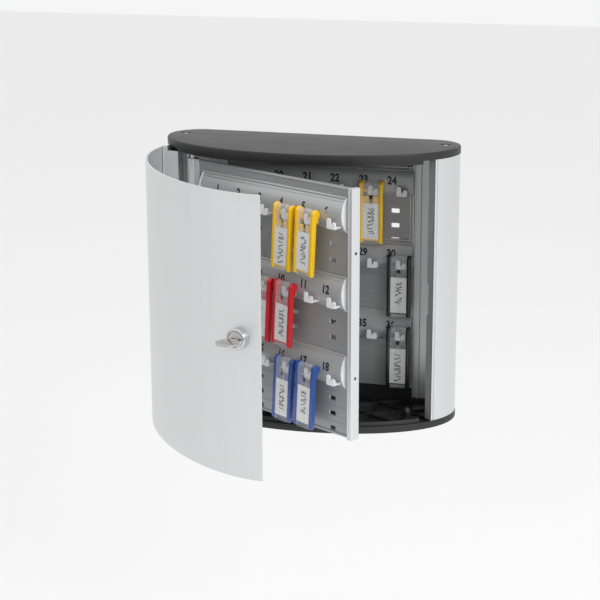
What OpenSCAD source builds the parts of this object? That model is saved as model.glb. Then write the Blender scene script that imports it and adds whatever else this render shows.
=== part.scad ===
// Wall key cabinet for 36 keys: D-shaped aluminium case between two moulded caps,
// a curved door with a cam lock, a swinging inner hook panel and nine key tags.
// Origin: on the wall plane (Y = 0), at mid width (X = 0) and at the underside (Z = 0).
// +X is right, +Y goes into the wall, +Z is up.

/* [Cabinet] */
// Overall width over the caps
body_w = 302; // [290:1:400]
// Overall height over both caps
body_h = 280; // [240:1:400]
// Overall depth from the wall to the middle of the front
body_d = 118; // [112:1:160]
// Radius of the two back corners
corner_r = 32; // [26:1:36]
// Flat length of each side profile along the wall, beside the back panel
rear_land = 19; // [15:1:24]
// Distance from the cabinet's side to the edge where the door begins
door_edge_in = 16; // [15:1:20]

/* [Sheet and skins] */
// Wall of the extruded skins and of the door
skin_t = 2; // [1.5:0.1:2.5]
// Set-back of the skins from the edge of the caps
skin_inset = 0.5; // [0.3:0.1:1]
// Thickness of the slotted plates
plate_t = 2; // [1.5:0.1:2.5]
// Depth of the return flange of the fixed right profile
fixed_flange = 11; // [8:0.5:11]
// Depth of the return flange of the door at its hinge side
door_flange = 20; // [14:1:20]

/* [Caps] */
// Height of the outer rim of each cap
rim_h = 7.5; // [6:0.5:9]
// Thickness of the cap's floor
cap_floor = 2.5; // [2:0.5:4]
// Height of the inner lip that the door closes against
lip_h = 11.5; // [10:0.5:13]
// Thickness of the rim and of the lip
cap_wall = 2; // [1.5:0.1:2.5]
// Height of the stiffening ribs above the cap's floor
rib_h = 3; // [1:0.5:4]
// Thickness of the stiffening ribs
rib_t = 1.2; // [0.8:0.1:2]
// Spacing of the stiffening ribs
rib_pitch = 34; // [25:1:60]

/* [Door] */
// Opening angle of the door in the rest pose
door_open = 50.5; // [0:0.5:105]
// Distance from the cabinet's left side to the door's hinge axis
hinge_in = 11.5; // [10:0.5:13]
// Distance from the door's edge back to its hinge axis
hinge_back = 15.027; // [13.5:0.001:16.5]
// Radius of the door's hinge pins
hinge_pin_r = 2; // [1.5:0.1:2.4]
// Radius of the fixed bead round the hinge axis
bead_r = 4.6; // [4:0.1:5]
// Radial running clearance of pins and rotor
run_gap = 0.05; // [0.02:0.01:0.09]
// Gap between the door and the fixed parts round it
door_gap = 0.8; // [0.5:0.1:1.2]

/* [Lock] */
// Distance from the cabinet's right side to the lock on the closed door
lock_in = 32.5; // [31:0.5:39]
// Height of the lock's axis
lock_z = 141; // [110:1:170]
// Radius of the lock's outer collar
collar_r = 10.3; // [9:0.1:11]
// How far the collar stands out from the door
collar_h = 7.5; // [5:0.5:9]
// Radius of the lock's threaded barrel
barrel_r = 8; // [7.6:0.1:8.5]
// Radius of the lock's rotor
rotor_r = 5.5; // [5.3:0.1:6]
// Length of the cam from the lock's axis
cam_l = 26; // [24:1:28]
// Width of the cam's arm
cam_w = 8; // [6:0.5:10]
// Thickness of the cam
cam_t = 2; // [1.5:0.1:2.2]

/* [Swing panel] */
// Distance from the cabinet's left side to the swing panel's pivot
pivot_in = 36; // [35:0.5:38]
// Y place of the swing panel's pivot
pivot_y = -66; // [-68:0.5:-64]
// Radius of the pivot pins
pivot_pin_r = 2.5; // [2:0.1:3]
// Radius of the panel's hinge post
post_r = 5.2; // [4.5:0.1:6]
// Distance from the pivot to the outer face of the end post
panel_len = 226; // [214:1:226]
// Width of the end post
end_post_w = 5.5; // [5:0.5:8]
// Depth of the end post
end_post_d = 11; // [8:0.5:11]
// Share of the door's angle that the panel follows
panel_ratio = 0.586; // [0.4:0.002:0.6]
// Angle of the shut panel to the wall, its free end nearer the wall
panel_tilt = 0.8; // [0:0.1:1.5]

/* [Plates and hook strips] */
// Height of the plates' lower edge, and their gap to the top
plate_gap = 18.5; // [16:0.5:20]
// Distance from the top of the cabinet down to the first hook line
row_drop = 55.4; // [52:0.1:58]
// Vertical pitch of the hook strips
row_pitch = 75.6; // [72:0.1:76]
// Horizontal pitch of the hooks
hook_pitch = 29.9; // [28:0.1:30]
// Place of the first number from the left edge of the back panel
first_number = 27.8; // [20:0.1:30]
// Height of a strip's label band above the hook line
band_up = 26.4; // [24:0.1:28]
// Height of a strip below the hook line
band_down = 5.1; // [4:0.1:6]
// How far a strip's label band bulges
band_bulge = 6.7; // [5:0.1:7]
// Width of the slots in the plates
slot_w = 8.5; // [6:0.5:10]
// Height of the slots in the plates
slot_h = 4.6; // [3:0.1:6]
// Vertical pitch of the slots
slot_pitch = 15.1; // [14:0.1:16]
// Horizontal pitch of the slots
slot_step = 50; // [45:1:60]
// Radius of the wall screw holes
wall_hole_r = 2.75; // [2:0.05:2.75]
// Horizontal spacing of the wall screw holes
wall_hole_x = 74; // [70:1:78]
// Vertical spacing of the wall screw holes
wall_hole_z = 180; // [150:1:182]

/* [Hooks] */
// Width of a hook
hook_w = 10.5; // [9:0.5:11]
// Reach of a hook from the plate
hook_out = 12.5; // [12:0.1:13]
// Thickness of a hook
hook_t = 1.4; // [1:0.1:1.6]
// Height of a hook's front lip
hook_lip = 4.5; // [3:0.1:5]
// Height of the taller prong at the left of the lip
prong_h = 7.7; // [5:0.1:8]
// Width of the taller prong
prong_w = 4.2; // [3:0.1:5]
// Distance from a number to the middle of its hook
hook_shift = 11.5; // [10:0.1:12]

/* [Key tags] */
// Width of a tag
tag_w = 24.6; // [23:0.1:26]
// Width of a tag's side rails
rail_w = 3.9; // [3:0.1:3.9]
// Length of a tag below the hook line
tag_down = 54; // [50:1:58]
// Height of a tag's head above the hook line
tag_up = 12.8; // [12.6:0.1:14]
// Depth of a tag's head
head_d = 9.5; // [9:0.1:10]
// Depth of a tag's body
tag_t = 5.5; // [5:0.1:6]
// Radius of the bar that hangs on the hook
bar_r = 1.8; // [1.4:0.1:1.9]
// Lean of the tags on the swing panel
tag_lean = 3.5; // [0:0.5:4]

/* [Hidden] */
$fn = 64;
half_w = body_w / 2;
front_b = body_d - corner_r;
panel_half = half_w - corner_r - rear_land;
door_edge_x = half_w - door_edge_in;
hinge_x = hinge_in - half_w;
hinge_y = hinge_back - corner_r - front_b * sin(acos(door_edge_x / half_w));
lock_x = half_w - lock_in;
pivot_x = pivot_in - half_w;
panel_open = panel_ratio * door_open - panel_tilt;
skin_in = skin_inset + skin_t;
front_steps = 60;
corner_steps = 10;
plate_front = -(skin_inset + plate_t);
plate_top = body_h - plate_gap;
plate_bottom = plate_gap;
first_row = body_h - row_drop;
row_count = 3;
hook_count = 6;
screw_x = half_w - 15.5;
screw_y = -28;
screw_head_r = 4;
screw_head_h = 2.2;
screw_r = 1.8;
screw_l = 20;
port_r = 4;
catch_x = pivot_x + (panel_len - end_post_w / 2) * cos(panel_tilt);
catch_y = pivot_y + (panel_len - end_post_w / 2) * sin(panel_tilt);
boss_r = 6;
boss_h = 13.5;
pin_bite = 11;
arm_t = 5.6;
flange_a = acos(-(door_edge_x + 0.3) / half_w);
shell_end_a = acos(-(door_edge_x + 3.5) / half_w);
edge_a = acos(door_edge_x / half_w);
free_a = acos((door_edge_x - door_gap * 0.7) / half_w);
lock_a = acos(lock_x / half_w);
lip_left_a = acos(-(door_edge_x - 4) / half_w);
lip_right_a = acos((door_edge_x - 9) / half_w);
lip_in = skin_in + 0.5;
sag = 0.6;
rotor_face_r = 6.7;
rotor_back = 12.3;
key_t = 2;
key_w = 7;
key_gap = 0.2;
key_in = 10;
tag_gap = 0.35;
hook_back = 2.2;
strip_r = (pow((band_up + band_down) / 2, 2) + pow(band_bulge, 2)) / (2 * band_bulge);
strip_mid = (band_up - band_down) / 2;
head_r = head_d / 2;
band_end_gap = 4;
head_back = band_bulge + tag_gap;
tag_front = head_back + head_d;
bar_out = head_back + bar_r;
web_top = 14;
web_t = 1;
label_t = 0.4;
cover_t = 0.7;
label_top = 12;
slot_half = 2.05;
bridge_h = 7;

tag_yellow = [0.98, 0.75, 0.05];
tag_red = [0.78, 0.05, 0.1];
tag_blue = [0.15, 0.27, 0.6];
tag_black = [0.1, 0.1, 0.11];
aluminium = [0.78, 0.79, 0.8];

// ---- outline of the cabinet: half an ellipse in front, round corners at the back ----

function reversed(list) = [for (i = [len(list) - 1 : -1 : 0]) list[i]];
function unit(v) = v / norm(v);
// Outward normal of the front ellipse at parameter angle a (0 right end, 180 left end)
function front_normal(a) = unit([cos(a) / half_w, -sin(a) / front_b]);
// Point of the front ellipse at parameter angle a, moved inwards by inset
function front_pt(a, inset) =
    [half_w * cos(a), -corner_r - front_b * sin(a)] - inset * front_normal(a);
function front_path(a0, a1, inset, steps) =
    [for (i = [0 : steps]) front_pt(a0 + (a1 - a0) * i / steps, inset)];
// Points of a back corner from angle b0 to b1; side is 1 on the right and -1 on the left
function corner_path(side, b0, b1, inset) =
    [for (i = [0 : corner_steps])
        let (b = b0 + (b1 - b0) * i / corner_steps)
        [side * (half_w - corner_r + (corner_r - inset) * cos(b)),
         -corner_r + (corner_r - inset) * sin(b)]];
function full_path(inset) = concat(
    front_path(180 - 180 / front_steps, 180 / front_steps, inset, front_steps - 2),
    corner_path(1, 0, 90, inset),
    corner_path(-1, 90, 0, inset));
// Path of a side skin from the front ellipse at angle a round the corner to the wall
function side_path(a, inset) = concat(
    front_path(a, a / 12, inset, 11),
    corner_path(1, 0, 90, inset),
    [[panel_half, -inset]]);

// Frame at a point of the front: x runs inwards, y runs towards the hinge side, z is up
module at_front(a) {
    n = front_normal(a);
    p = front_pt(a, 0);
    translate([p[0], p[1], 0])
        rotate([0, 0, atan2(-n[1], -n[0])])
            children();
}

module skin(a, height, z0) {
    translate([0, 0, z0])
        linear_extrude(height)
            polygon(concat(side_path(a, skin_inset), reversed(side_path(a, skin_in))));
}

module ring(outer, inner, height) {
    difference() {
        cylinder(r = outer, h = height);
        translate([0, 0, -1]) cylinder(r = inner, h = height + 2);
    }
}

// ---- poses of the moving bodies ----

module door_pose() {
    translate([hinge_x, hinge_y, 0])
        rotate([0, 0, -door_open])
            translate([-hinge_x, -hinge_y, 0])
                children();
}

// Swing panel's own frame: x along the panel from the pivot, -y outwards, z up
module panel_pose() {
    translate([pivot_x, pivot_y, 0])
        rotate([0, 0, -panel_open])
            children();
}

// Lock's own frame on the closed door: z runs outwards along the lock's axis, x up
module lock_frame() {
    n = front_normal(lock_a);
    p = front_pt(lock_a, skin_inset);
    translate([p[0], p[1], lock_z])
        rotate([0, 0, atan2(n[1], n[0])])
            rotate([0, 90, 0])
                rotate([0, 0, 180])
                    children();
}

// ---- caps ----

module cap_ribs() {
    span = body_w + body_d;
    linear_extrude(cap_floor + rib_h)
        intersection() {
            polygon(full_path(lip_in));
            for (angle = [30, 90, 150], k = [-5 : 5])
                translate([0, -body_d / 2])
                    rotate(angle)
                        translate([-span, k * rib_pitch - rib_t / 2])
                            square([2 * span, rib_t]);
        }
}

module star_boss(x, y, radius, height) {
    translate([x, y, 0]) {
        cylinder(r = radius, h = height);
        for (k = [0 : 5])
            rotate([0, 0, 60 * k + 15])
                translate([0, -rib_t / 2, 0])
                    cube([radius + 7, rib_t, cap_floor + rib_h + 1.5]);
    }
}

// A cap seen from inside: outer face at z = 0, rim and lip upwards
module cap() {
    difference() {
        union() {
            linear_extrude(cap_floor) polygon(full_path(0));
            linear_extrude(rim_h)
                difference() {
                    polygon(full_path(0));
                    polygon(full_path(skin_in + 0.2));
                }
            linear_extrude(lip_h)
                polygon(concat(
                    front_path(lip_left_a, lip_right_a, lip_in, front_steps),
                    front_path(lip_right_a, lip_left_a, lip_in + cap_wall, front_steps)));
            translate([-panel_half, plate_front - 1, 0])
                cube([2 * panel_half, plate_t + 1, plate_gap]);
            cap_ribs();
            star_boss(pivot_x, pivot_y, boss_r, boss_h);
            star_boss(catch_x, catch_y, boss_r - 1.5, rim_h);
            for (side = [-1, 1])
                translate([side * screw_x, screw_y, 0])
                    cylinder(r = port_r + 1, h = rim_h);
            translate([hinge_x, hinge_y, 0]) cylinder(r = bead_r, h = rim_h);
        }
        for (side = [-1, 1])
            translate([side * screw_x, screw_y, -1]) {
                cylinder(r = screw_r, h = rim_h + 2);
                cylinder(r = screw_head_r + 0.5, h = screw_head_h + 1.3);
            }
        translate([pivot_x, pivot_y, cap_floor]) cylinder(r = pivot_pin_r, h = boss_h);
        translate([hinge_x, hinge_y, cap_floor]) cylinder(r = hinge_pin_r, h = rim_h);
        translate([catch_x, catch_y, cap_floor]) cylinder(r = 2, h = rim_h);
    }
}

module at_top() {
    translate([0, 0, body_h]) mirror([0, 0, 1]) children();
}

module bottom_cap() color([0.1, 0.1, 0.11]) cap();
module top_cap() color([0.16, 0.16, 0.17]) at_top() cap();

module both_ends() {
    children();
    at_top() children();
}

module cap_screws() color("silver")
    both_ends()
        for (side = [-1, 1])
            translate([side * screw_x, screw_y, 0.3]) {
                difference() {
                    cylinder(r = screw_head_r, h = screw_head_h);
                    for (turn = [0, 90])
                        rotate([0, 0, turn])
                            translate([-2.4, -0.45, -1]) cube([4.8, 0.9, 2]);
                }
                cylinder(r = screw_r, h = screw_l);
            }

// ---- fixed side profiles and back panel ----

module screw_port(height) {
    translate([screw_x, screw_y, 0])
        difference() {
            union() {
                cylinder(r = port_r, h = height);
                translate([0, -1, 0]) cube([half_w - skin_in + 0.3 - screw_x, 2, height]);
            }
            translate([0, 0, -1]) cylinder(r = screw_r, h = height + 2);
        }
}

module right_profile() color(aluminium)
    translate([0, 0, rim_h])
        difference() {
            union() {
                skin(edge_a, body_h - 2 * rim_h, 0);
                at_front(edge_a)
                    translate([skin_inset, -skin_t, 0])
                        cube([fixed_flange - skin_inset, skin_t, body_h - 2 * rim_h]);
                screw_port(body_h - 2 * rim_h);
                translate([panel_half + 5.5, plate_front - 2.5, 0])
                    cube([1.5, 3, body_h - 2 * rim_h]);
            }
            at_front(edge_a)
                translate([fixed_flange - 2.2, -skin_t - 1, lock_z - rim_h - cam_l])
                    cube([10, skin_t + 2, cam_l + cam_w / 2 + 2]);
        }

module left_profile() color(aluminium)
    difference() {
        union() {
            translate([0, 0, rim_h])
                mirror([1, 0, 0]) {
                    skin(acos(-(hinge_x - 3.6) / half_w), body_h - 2 * rim_h, 0);
                    screw_port(body_h - 2 * rim_h);
                    translate([panel_half + 5.5, plate_front - 2.5, 0])
                        cube([1.5, 3, body_h - 2 * rim_h]);
                }
            translate([hinge_x, hinge_y, rim_h + arm_t + 2.5])
                cylinder(r = bead_r, h = body_h - 2 * rim_h - 2 * arm_t - 5);
        }
        both_ends()
            translate([hinge_x, hinge_y, rim_h - 1])
                cylinder(r = 12, h = arm_t + 3.5);
    }

module slot_row(z, columns) {
    for (x = columns)
        translate([x - slot_w / 2, -10, z - slot_h / 2])
            cube([slot_w, 20, slot_h]);
}

// Slots of one plate between x0 and x1, below and behind the strips
module plate_slots(x0, x1) {
    last = x0 + first_number + (hook_count - 1) * hook_pitch + 2.5;
    columns = [for (x = [last : -slot_step : x0 + 12]) x];
    slot_row(first_row + band_up - 0.6, columns);
    for (row = [0 : row_count - 1], k = [0 : 2]) {
        z = first_row - row * row_pitch - 19.3 - k * slot_pitch;
        if (z > plate_bottom + slot_h)
            slot_row(z, columns);
    }
}

module back_panel() color([0.6, 0.61, 0.62])
    difference() {
        translate([-panel_half, plate_front, plate_bottom])
            cube([2 * panel_half, plate_t, plate_top - plate_bottom]);
        plate_slots(-panel_half, panel_half);
        for (side = [-1, 1], end = [-1, 1])
            translate([side * wall_hole_x / 2, 5, (first_row - 12 - wall_hole_z / 2) + end * wall_hole_z / 2])
                rotate([90, 0, 0]) cylinder(r = wall_hole_r, h = 20);
    }

// ---- hook strips and hooks, in a frame with the plate's front at y = 0 ----

// Label band from x0 to x1 with its hook line at z = 0
module strip(x0, x1, numbers) {
    difference() {
        union() {
            intersection() {
                translate([x0, strip_r - band_bulge, strip_mid])
                    rotate([0, 90, 0]) cylinder(r = strip_r, h = x1 - x0);
                translate([x0, -band_bulge, -band_down])
                    cube([x1 - x0, band_bulge, band_up + band_down]);
            }
            translate([x0, -1.2, band_up - 1.2])
                rotate([0, 90, 0]) cylinder(r = 1.2, h = x1 - x0);
        }
        translate([x0 - 1, -band_bulge - 1, -0.8])
            cube([x1 - x0 + 2, band_bulge - 2.6, 0.8]);
        for (x = numbers)
            translate([x + hook_shift - hook_w / 2, -band_bulge - 1, -hook_t])
                cube([hook_w, band_bulge + 1 - hook_back, hook_t]);
    }
}

// One hook with its upper face at z = 0 and its left edge at x = 0
module hook() {
    translate([0, -hook_out, -hook_t])
        cube([hook_w, hook_out - hook_back, hook_t]);
    translate([0, -hook_out, -hook_t])
        cube([hook_w, hook_t, hook_t + hook_lip]);
    translate([0, -hook_out, 0])
        cube([prong_w, hook_t, prong_h - prong_w / 2]);
    translate([prong_w / 2, -hook_out, prong_h - prong_w / 2])
        rotate([-90, 0, 0]) cylinder(r = prong_w / 2, h = hook_t);
    translate([(hook_w - 2) / 2, 0, 0])
        rotate([90, 0, 90])
            linear_extrude(2)
                polygon([[-5, -hook_t], [-5, -3.6], [-10, -hook_t]]);
}

function number_x(x0) = [for (i = [0 : hook_count - 1]) x0 + first_number + i * hook_pitch];
function row_z(row) = first_row - row * row_pitch;

module hooks(x0) {
    for (row = [0 : row_count - 1], x = number_x(x0))
        translate([x + hook_shift - hook_w / 2, 0, row_z(row)]) hook();
}

module back_strip(row) color([0.62, 0.63, 0.64])
    translate([0, plate_front, row_z(row)])
        strip(3 - panel_half, panel_half, number_x(-panel_half));

module back_strip_top() back_strip(0);
module back_strip_middle() back_strip(1);
module back_strip_bottom() back_strip(2);

module back_hooks() color([0.85, 0.86, 0.87])
    translate([0, plate_front, 0]) hooks(-panel_half);

// ---- hinge pins, catches and strike ----

module door_hinge_pins() color("silver")
    both_ends()
        translate([hinge_x, hinge_y, cap_floor])
            cylinder(r = hinge_pin_r, h = rim_h + arm_t + 2 - cap_floor);

module panel_pivot_pins() color("silver")
    both_ends()
        translate([pivot_x, pivot_y, cap_floor])
            cylinder(r = pivot_pin_r, h = plate_bottom + pin_bite - cap_floor);

module panel_catches() color([0.08, 0.08, 0.09])
    both_ends()
        translate([catch_x, catch_y, 0]) {
            translate([0, 0, cap_floor]) cylinder(r = 2, h = rim_h - cap_floor);
            translate([0, 0, rim_h]) cylinder(r = 4.2, h = 6);
            translate([0, 0, rim_h + 6]) cylinder(r1 = 4.2, r2 = 2.2, h = 3.6);
        }

module lock_strike() color("silver")
    at_front(edge_a)
        translate([skin_in + 0.8, -skin_t - 1.5, lock_z - cam_l])
            cube([fixed_flange - skin_in - 3.2, 1.5, cam_l + 12]);

// ---- door ----

// Side view of the door's flange, stepped back at both ends to clear the caps' lips
module flange_profile() {
    shell_h = body_h - 2 * (rim_h + skin_inset);
    step = lip_h - rim_h + 0.2;
    polygon([
        [0, 0], [7, 0], [7, step], [door_flange - 1, step],
        [door_flange - 1, shell_h - step], [7, shell_h - step], [7, shell_h], [0, shell_h]]);
}

module door_shell() color(aluminium)
    door_pose()
        difference() {
            translate([0, 0, rim_h + skin_inset])
                union() {
                    linear_extrude(body_h - 2 * (rim_h + skin_inset))
                        polygon(concat(
                            front_path(shell_end_a, free_a, skin_inset, front_steps),
                            front_path(free_a, shell_end_a, skin_in, front_steps)));
                    at_front(flange_a)
                        translate([skin_inset + 0.5, -skin_t / 2, 0])
                            rotate([90, 0, 0])
                                mirror([0, 0, 1])
                                    linear_extrude(skin_t) flange_profile();
                }
            lock_frame() {
                translate([0, 0, -10]) cylinder(r = barrel_r, h = 20);
                translate([0, 0, -sag]) cylinder(r = collar_r, h = 5);
            }
        }

// Arm that carries the door on its hinge pin, seated on the return flange
module hinge_arm(z0) {
    n = front_normal(flange_a);
    p = front_pt(flange_a, 0);
    rel = [hinge_x, hinge_y] - p;
    depth = -(rel * n);
    side = rel * [n[1], -n[0]];
    difference() {
        translate([0, 0, z0])
            at_front(flange_a)
                linear_extrude(arm_t)
                    union() {
                        translate([depth, side]) circle(r = bead_r);
                        polygon([
                            [skin_in + 0.6, skin_t / 2],
                            [depth + bead_r, skin_t / 2],
                            [depth + bead_r, side],
                            [depth - bead_r, side]]);
                    }
        translate([hinge_x, hinge_y, 0]) cylinder(r = hinge_pin_r + run_gap, h = body_h);
    }
}

module door_hinge_bottom() color([0.15, 0.15, 0.16])
    door_pose() hinge_arm(rim_h + 1);
module door_hinge_top() color([0.15, 0.15, 0.16])
    door_pose() hinge_arm(body_h - rim_h - 1 - arm_t);

// ---- lock: z runs outwards from the door's outer face ----

module lock_pose() {
    door_pose() lock_frame() children();
}

module lock_housing() color("silver")
    lock_pose()
        difference() {
            union() {
                translate([0, 0, -sag]) cylinder(r = collar_r, h = collar_h + sag - 1);
                translate([0, 0, collar_h - 1])
                    cylinder(r1 = collar_r, r2 = collar_r - 1, h = 1);
                translate([0, 0, -rotor_back + 0.8])
                    cylinder(r = barrel_r, h = rotor_back);
            }
            translate([0, 0, -20]) cylinder(r = rotor_r + run_gap, h = 40);
            translate([0, 0, collar_h - 3.5])
                cylinder(r = rotor_face_r + run_gap, h = 10);
        }

module lock_nut() color("silver")
    lock_pose()
        translate([0, 0, -(skin_t + 0.75) - 3])
            difference() {
                cylinder(r = 12, h = 3, $fn = 6);
                translate([0, 0, -1]) cylinder(r = barrel_r, h = 5);
            }

module lock_rotor() color([0.8, 0.8, 0.78])
    lock_pose()
        difference() {
            union() {
                translate([0, 0, -rotor_back]) cylinder(r = rotor_r, h = rotor_back + 2);
                translate([0, 0, collar_h - 3.5 + 0.05])
                    cylinder(r = rotor_face_r, h = 3);
                cylinder(r = rotor_r, h = collar_h - 1);
            }
            translate([-key_t / 2 - key_gap, -key_w / 2 - key_gap, -key_in + 2.5])
                cube([key_t + 2 * key_gap, key_w + 2 * key_gap, 30]);
            translate([0, 0, -rotor_back - 1]) cylinder(r = 1.6, h = 5);
        }

module lock_cam() color([0.7, 0.7, 0.68])
    lock_pose()
        translate([0, 0, -rotor_back - cam_t])
            difference() {
                union() {
                    cylinder(r = 6, h = cam_t);
                    translate([-cam_l + cam_w / 2, -cam_w / 2, 0])
                        cube([cam_l - cam_w / 2, cam_w, cam_t]);
                    translate([-cam_l + cam_w / 2, 0, 0]) cylinder(r = cam_w / 2, h = cam_t);
                }
                translate([0, 0, -1]) cylinder(r = 1.6, h = cam_t + 2);
            }

module cam_screw() color([0.55, 0.55, 0.55])
    lock_pose() {
        translate([0, 0, -rotor_back - cam_t - 1.3]) cylinder(r = 3.2, h = 1.3);
        translate([0, 0, -rotor_back - cam_t]) cylinder(r = 1.6, h = cam_t + 3.8);
    }

module door_key() color([0.82, 0.82, 0.8])
    lock_pose()
        difference() {
            union() {
                translate([-key_t / 2, -key_w / 2, -key_in + 3])
                    cube([key_t, key_w, key_in + collar_h + 2]);
                translate([-key_t / 2, -5.5, collar_h + 0.6]) cube([key_t, 11, 3]);
                translate([-key_t / 2, 0, collar_h + 12])
                    rotate([0, 90, 0]) cylinder(r = 10, h = key_t);
            }
            translate([-key_t, 0, collar_h + 17])
                rotate([0, 90, 0]) cylinder(r = 2.6, h = 2 * key_t);
        }

// ---- swing panel, in its own frame ----

swing_x0 = -pivot_x + 2.5 - panel_half;
swing_front = -plate_t / 2;

module swing_plate() color([0.66, 0.67, 0.68])
    panel_pose()
        difference() {
            union() {
                translate([post_r + 6.8, swing_front, plate_bottom])
                    cube([panel_len - end_post_w - post_r - 6.8, plate_t, plate_top - plate_bottom]);
                for (z = [plate_bottom + 1.8, plate_top - 1.8])
                    translate([post_r + 6.8, 0, z])
                        rotate([0, 90, 0])
                            cylinder(r = 1.8, h = panel_len - end_post_w - post_r - 6.8);
            }
            plate_slots(swing_x0, panel_len);
        }

module swing_hinge_post() color(aluminium)
    panel_pose()
        difference() {
            union() {
                translate([0, 0, plate_bottom]) cylinder(r = post_r, h = plate_top - plate_bottom);
                translate([post_r - 1.5, -2.4, plate_bottom])
                    cube([8.3, 4.8, plate_top - plate_bottom]);
            }
            translate([0, 0, plate_bottom - 1])
                cylinder(r = pivot_pin_r + run_gap, h = body_h);
        }

module swing_end_post() color([0.85, 0.86, 0.87])
    panel_pose()
        difference() {
            translate([panel_len - end_post_w, -end_post_d / 2, plate_bottom])
                cube([end_post_w, end_post_d, plate_top - plate_bottom]);
            translate([panel_len - end_post_w + 1.5, -end_post_d / 2 - 1, plate_bottom - 1])
                cube([1.2, 2.2, body_h]);
            for (end = [-1, 1])
                translate([panel_len - 2.5, 0, body_h / 2 + end * 60.5])
                    rotate([0, 90, 0]) cylinder(r = 1.4, h = 5);
        }

module swing_strip(row) color([0.68, 0.69, 0.7])
    panel_pose()
        translate([0, swing_front, row_z(row)])
            difference() {
                strip(18, panel_len - end_post_w - band_end_gap, number_x(swing_x0));
                translate([0, -0.8, -row_z(row) + plate_top - 3.6]) cube([panel_len, 1, 4]);
            }

module swing_strip_top() swing_strip(0);
module swing_strip_middle() swing_strip(1);
module swing_strip_bottom() swing_strip(2);

module swing_hooks() color([0.88, 0.89, 0.9])
    panel_pose()
        translate([0, swing_front, 0]) hooks(swing_x0);

// ---- key tags: bar axis at the origin, -y outwards, z up ----

module rail_profile() {
    front = -tag_front + bar_out;
    translate([front + head_r, tag_up - head_r - bar_r]) circle(r = head_r);
    translate([front, -tag_down + tag_t / 2]) square([tag_t, tag_down + tag_up - head_r - bar_r - tag_t / 2]);
    translate([front, 0]) square([head_d - bar_r, tag_up - head_r - bar_r]);
    translate([front, 0]) square([head_d, tag_up - head_r - bar_r]);
    circle(r = bar_r);
    translate([front + tag_t / 2, -tag_down + tag_t / 2]) circle(r = tag_t / 2);
}

module frame() {
    inner = tag_w / 2 - rail_w;
    front = -tag_front + bar_out;
    back = front + tag_t;
    for (side = [-1, 1])
        translate([side < 0 ? -tag_w / 2 : inner, 0, 0])
            rotate([90, 0, 90])
                linear_extrude(rail_w) rail_profile();
    translate([-inner, 0, 0]) rotate([0, 90, 0]) cylinder(r = bar_r, h = 2 * inner);
    translate([-inner, back - web_t, -tag_down + 5])
        cube([2 * inner, web_t, tag_down - 5 - web_top]);
    for (x = [-inner, slot_half])
        translate([x, front + 1.7, -label_top])
            cube([inner - slot_half, web_t, bridge_h]);
}

module window() {
    inner = tag_w / 2 - rail_w;
    front = -tag_front + bar_out;
    head_z = tag_up - head_r - bar_r;
    difference() {
        union() {
            translate([-inner, front + 0.3, -tag_down + 5])
                cube([2 * inner, cover_t, tag_down - 5 - label_top]);
            translate([-inner, front + 0.3, -label_top])
                cube([2 * inner, 1.2, label_top + head_z]);
            translate([-inner, front + 0.3, -tag_down])
                cube([2 * inner, tag_t - 0.6, 5]);
            intersection() {
                translate([-inner, front + head_r, head_z])
                    rotate([0, 90, 0]) ring(head_r - 0.3, head_r - 1.5, 2 * inner);
                translate([-inner, front, head_z]) cube([2 * inner, head_d, head_d]);
            }
        }
        translate([-slot_half, front - 1, -7.5]) cube([2 * slot_half, 4, 7.7]);
    }
}

module label() {
    inner = tag_w / 2 - rail_w;
    front = -tag_front + bar_out;
    translate([-inner, front + 0.3 + cover_t, -tag_down + 5])
        cube([2 * inner, label_t, tag_down - 5 - label_top]);
}

function tag_row(n) = floor((n - 1) / hook_count) % row_count;
function tag_column(n) = (n - 1) % hook_count;

// Places a tag on the hook of number n, on the swing panel up to 18 and else on the back panel
module hang(n) {
    column = tag_column(n);
    if (n <= hook_count * row_count)
        panel_pose()
            translate([
                number_x(swing_x0)[column] + 10.2,
                swing_front - bar_out,
                row_z(tag_row(n)) + bar_r + tag_gap + hook_w / 2 * tan(tag_lean)])
                rotate([0, tag_lean, 0])
                    children();
    else
        translate([
            number_x(-panel_half)[column] + 10.2,
            plate_front - bar_out,
            row_z(tag_row(n)) + bar_r + tag_gap])
            children();
}

module tag_frame(n, paint) color(paint) hang(n) frame();
module tag_window(n) color([0.9, 0.92, 0.92, 0.5]) hang(n) window();
module tag_label(n) color([0.95, 0.95, 0.93]) hang(n) label();

back_panel();
right_profile();
left_profile();
top_cap();
bottom_cap();
cap_screws();
back_strip_top();
back_strip_middle();
back_strip_bottom();
back_hooks();
door_hinge_pins();
panel_pivot_pins();
panel_catches();
lock_strike();
door_shell();
door_hinge_top();
door_hinge_bottom();
lock_housing();
lock_nut();
lock_rotor();
lock_cam();
cam_screw();
door_key();
swing_plate();
swing_hinge_post();
swing_end_post();
swing_strip_top();
swing_strip_middle();
swing_strip_bottom();
swing_hooks();
tag_frame(4, tag_yellow);  // tag_04_frame
tag_window(4);  // tag_04_window
tag_label(4);  // tag_04_label
tag_frame(5, tag_yellow);  // tag_05_frame
tag_window(5);  // tag_05_window
tag_label(5);  // tag_05_label
tag_frame(9, tag_red);  // tag_09_frame
tag_window(9);  // tag_09_window
tag_label(9);  // tag_09_label
tag_frame(10, tag_red);  // tag_10_frame
tag_window(10);  // tag_10_window
tag_label(10);  // tag_10_label
tag_frame(16, tag_blue);  // tag_16_frame
tag_window(16);  // tag_16_window
tag_label(16);  // tag_16_label
tag_frame(17, tag_blue);  // tag_17_frame
tag_window(17);  // tag_17_window
tag_label(17);  // tag_17_label
tag_frame(23, tag_yellow);  // tag_23_frame
tag_window(23);  // tag_23_window
tag_label(23);  // tag_23_label
tag_frame(30, tag_black);  // tag_30_frame
tag_window(30);  // tag_30_window
tag_label(30);  // tag_30_label
tag_frame(36, tag_black);  // tag_36_frame
tag_window(36);  // tag_36_window
tag_label(36);  // tag_36_label
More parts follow.
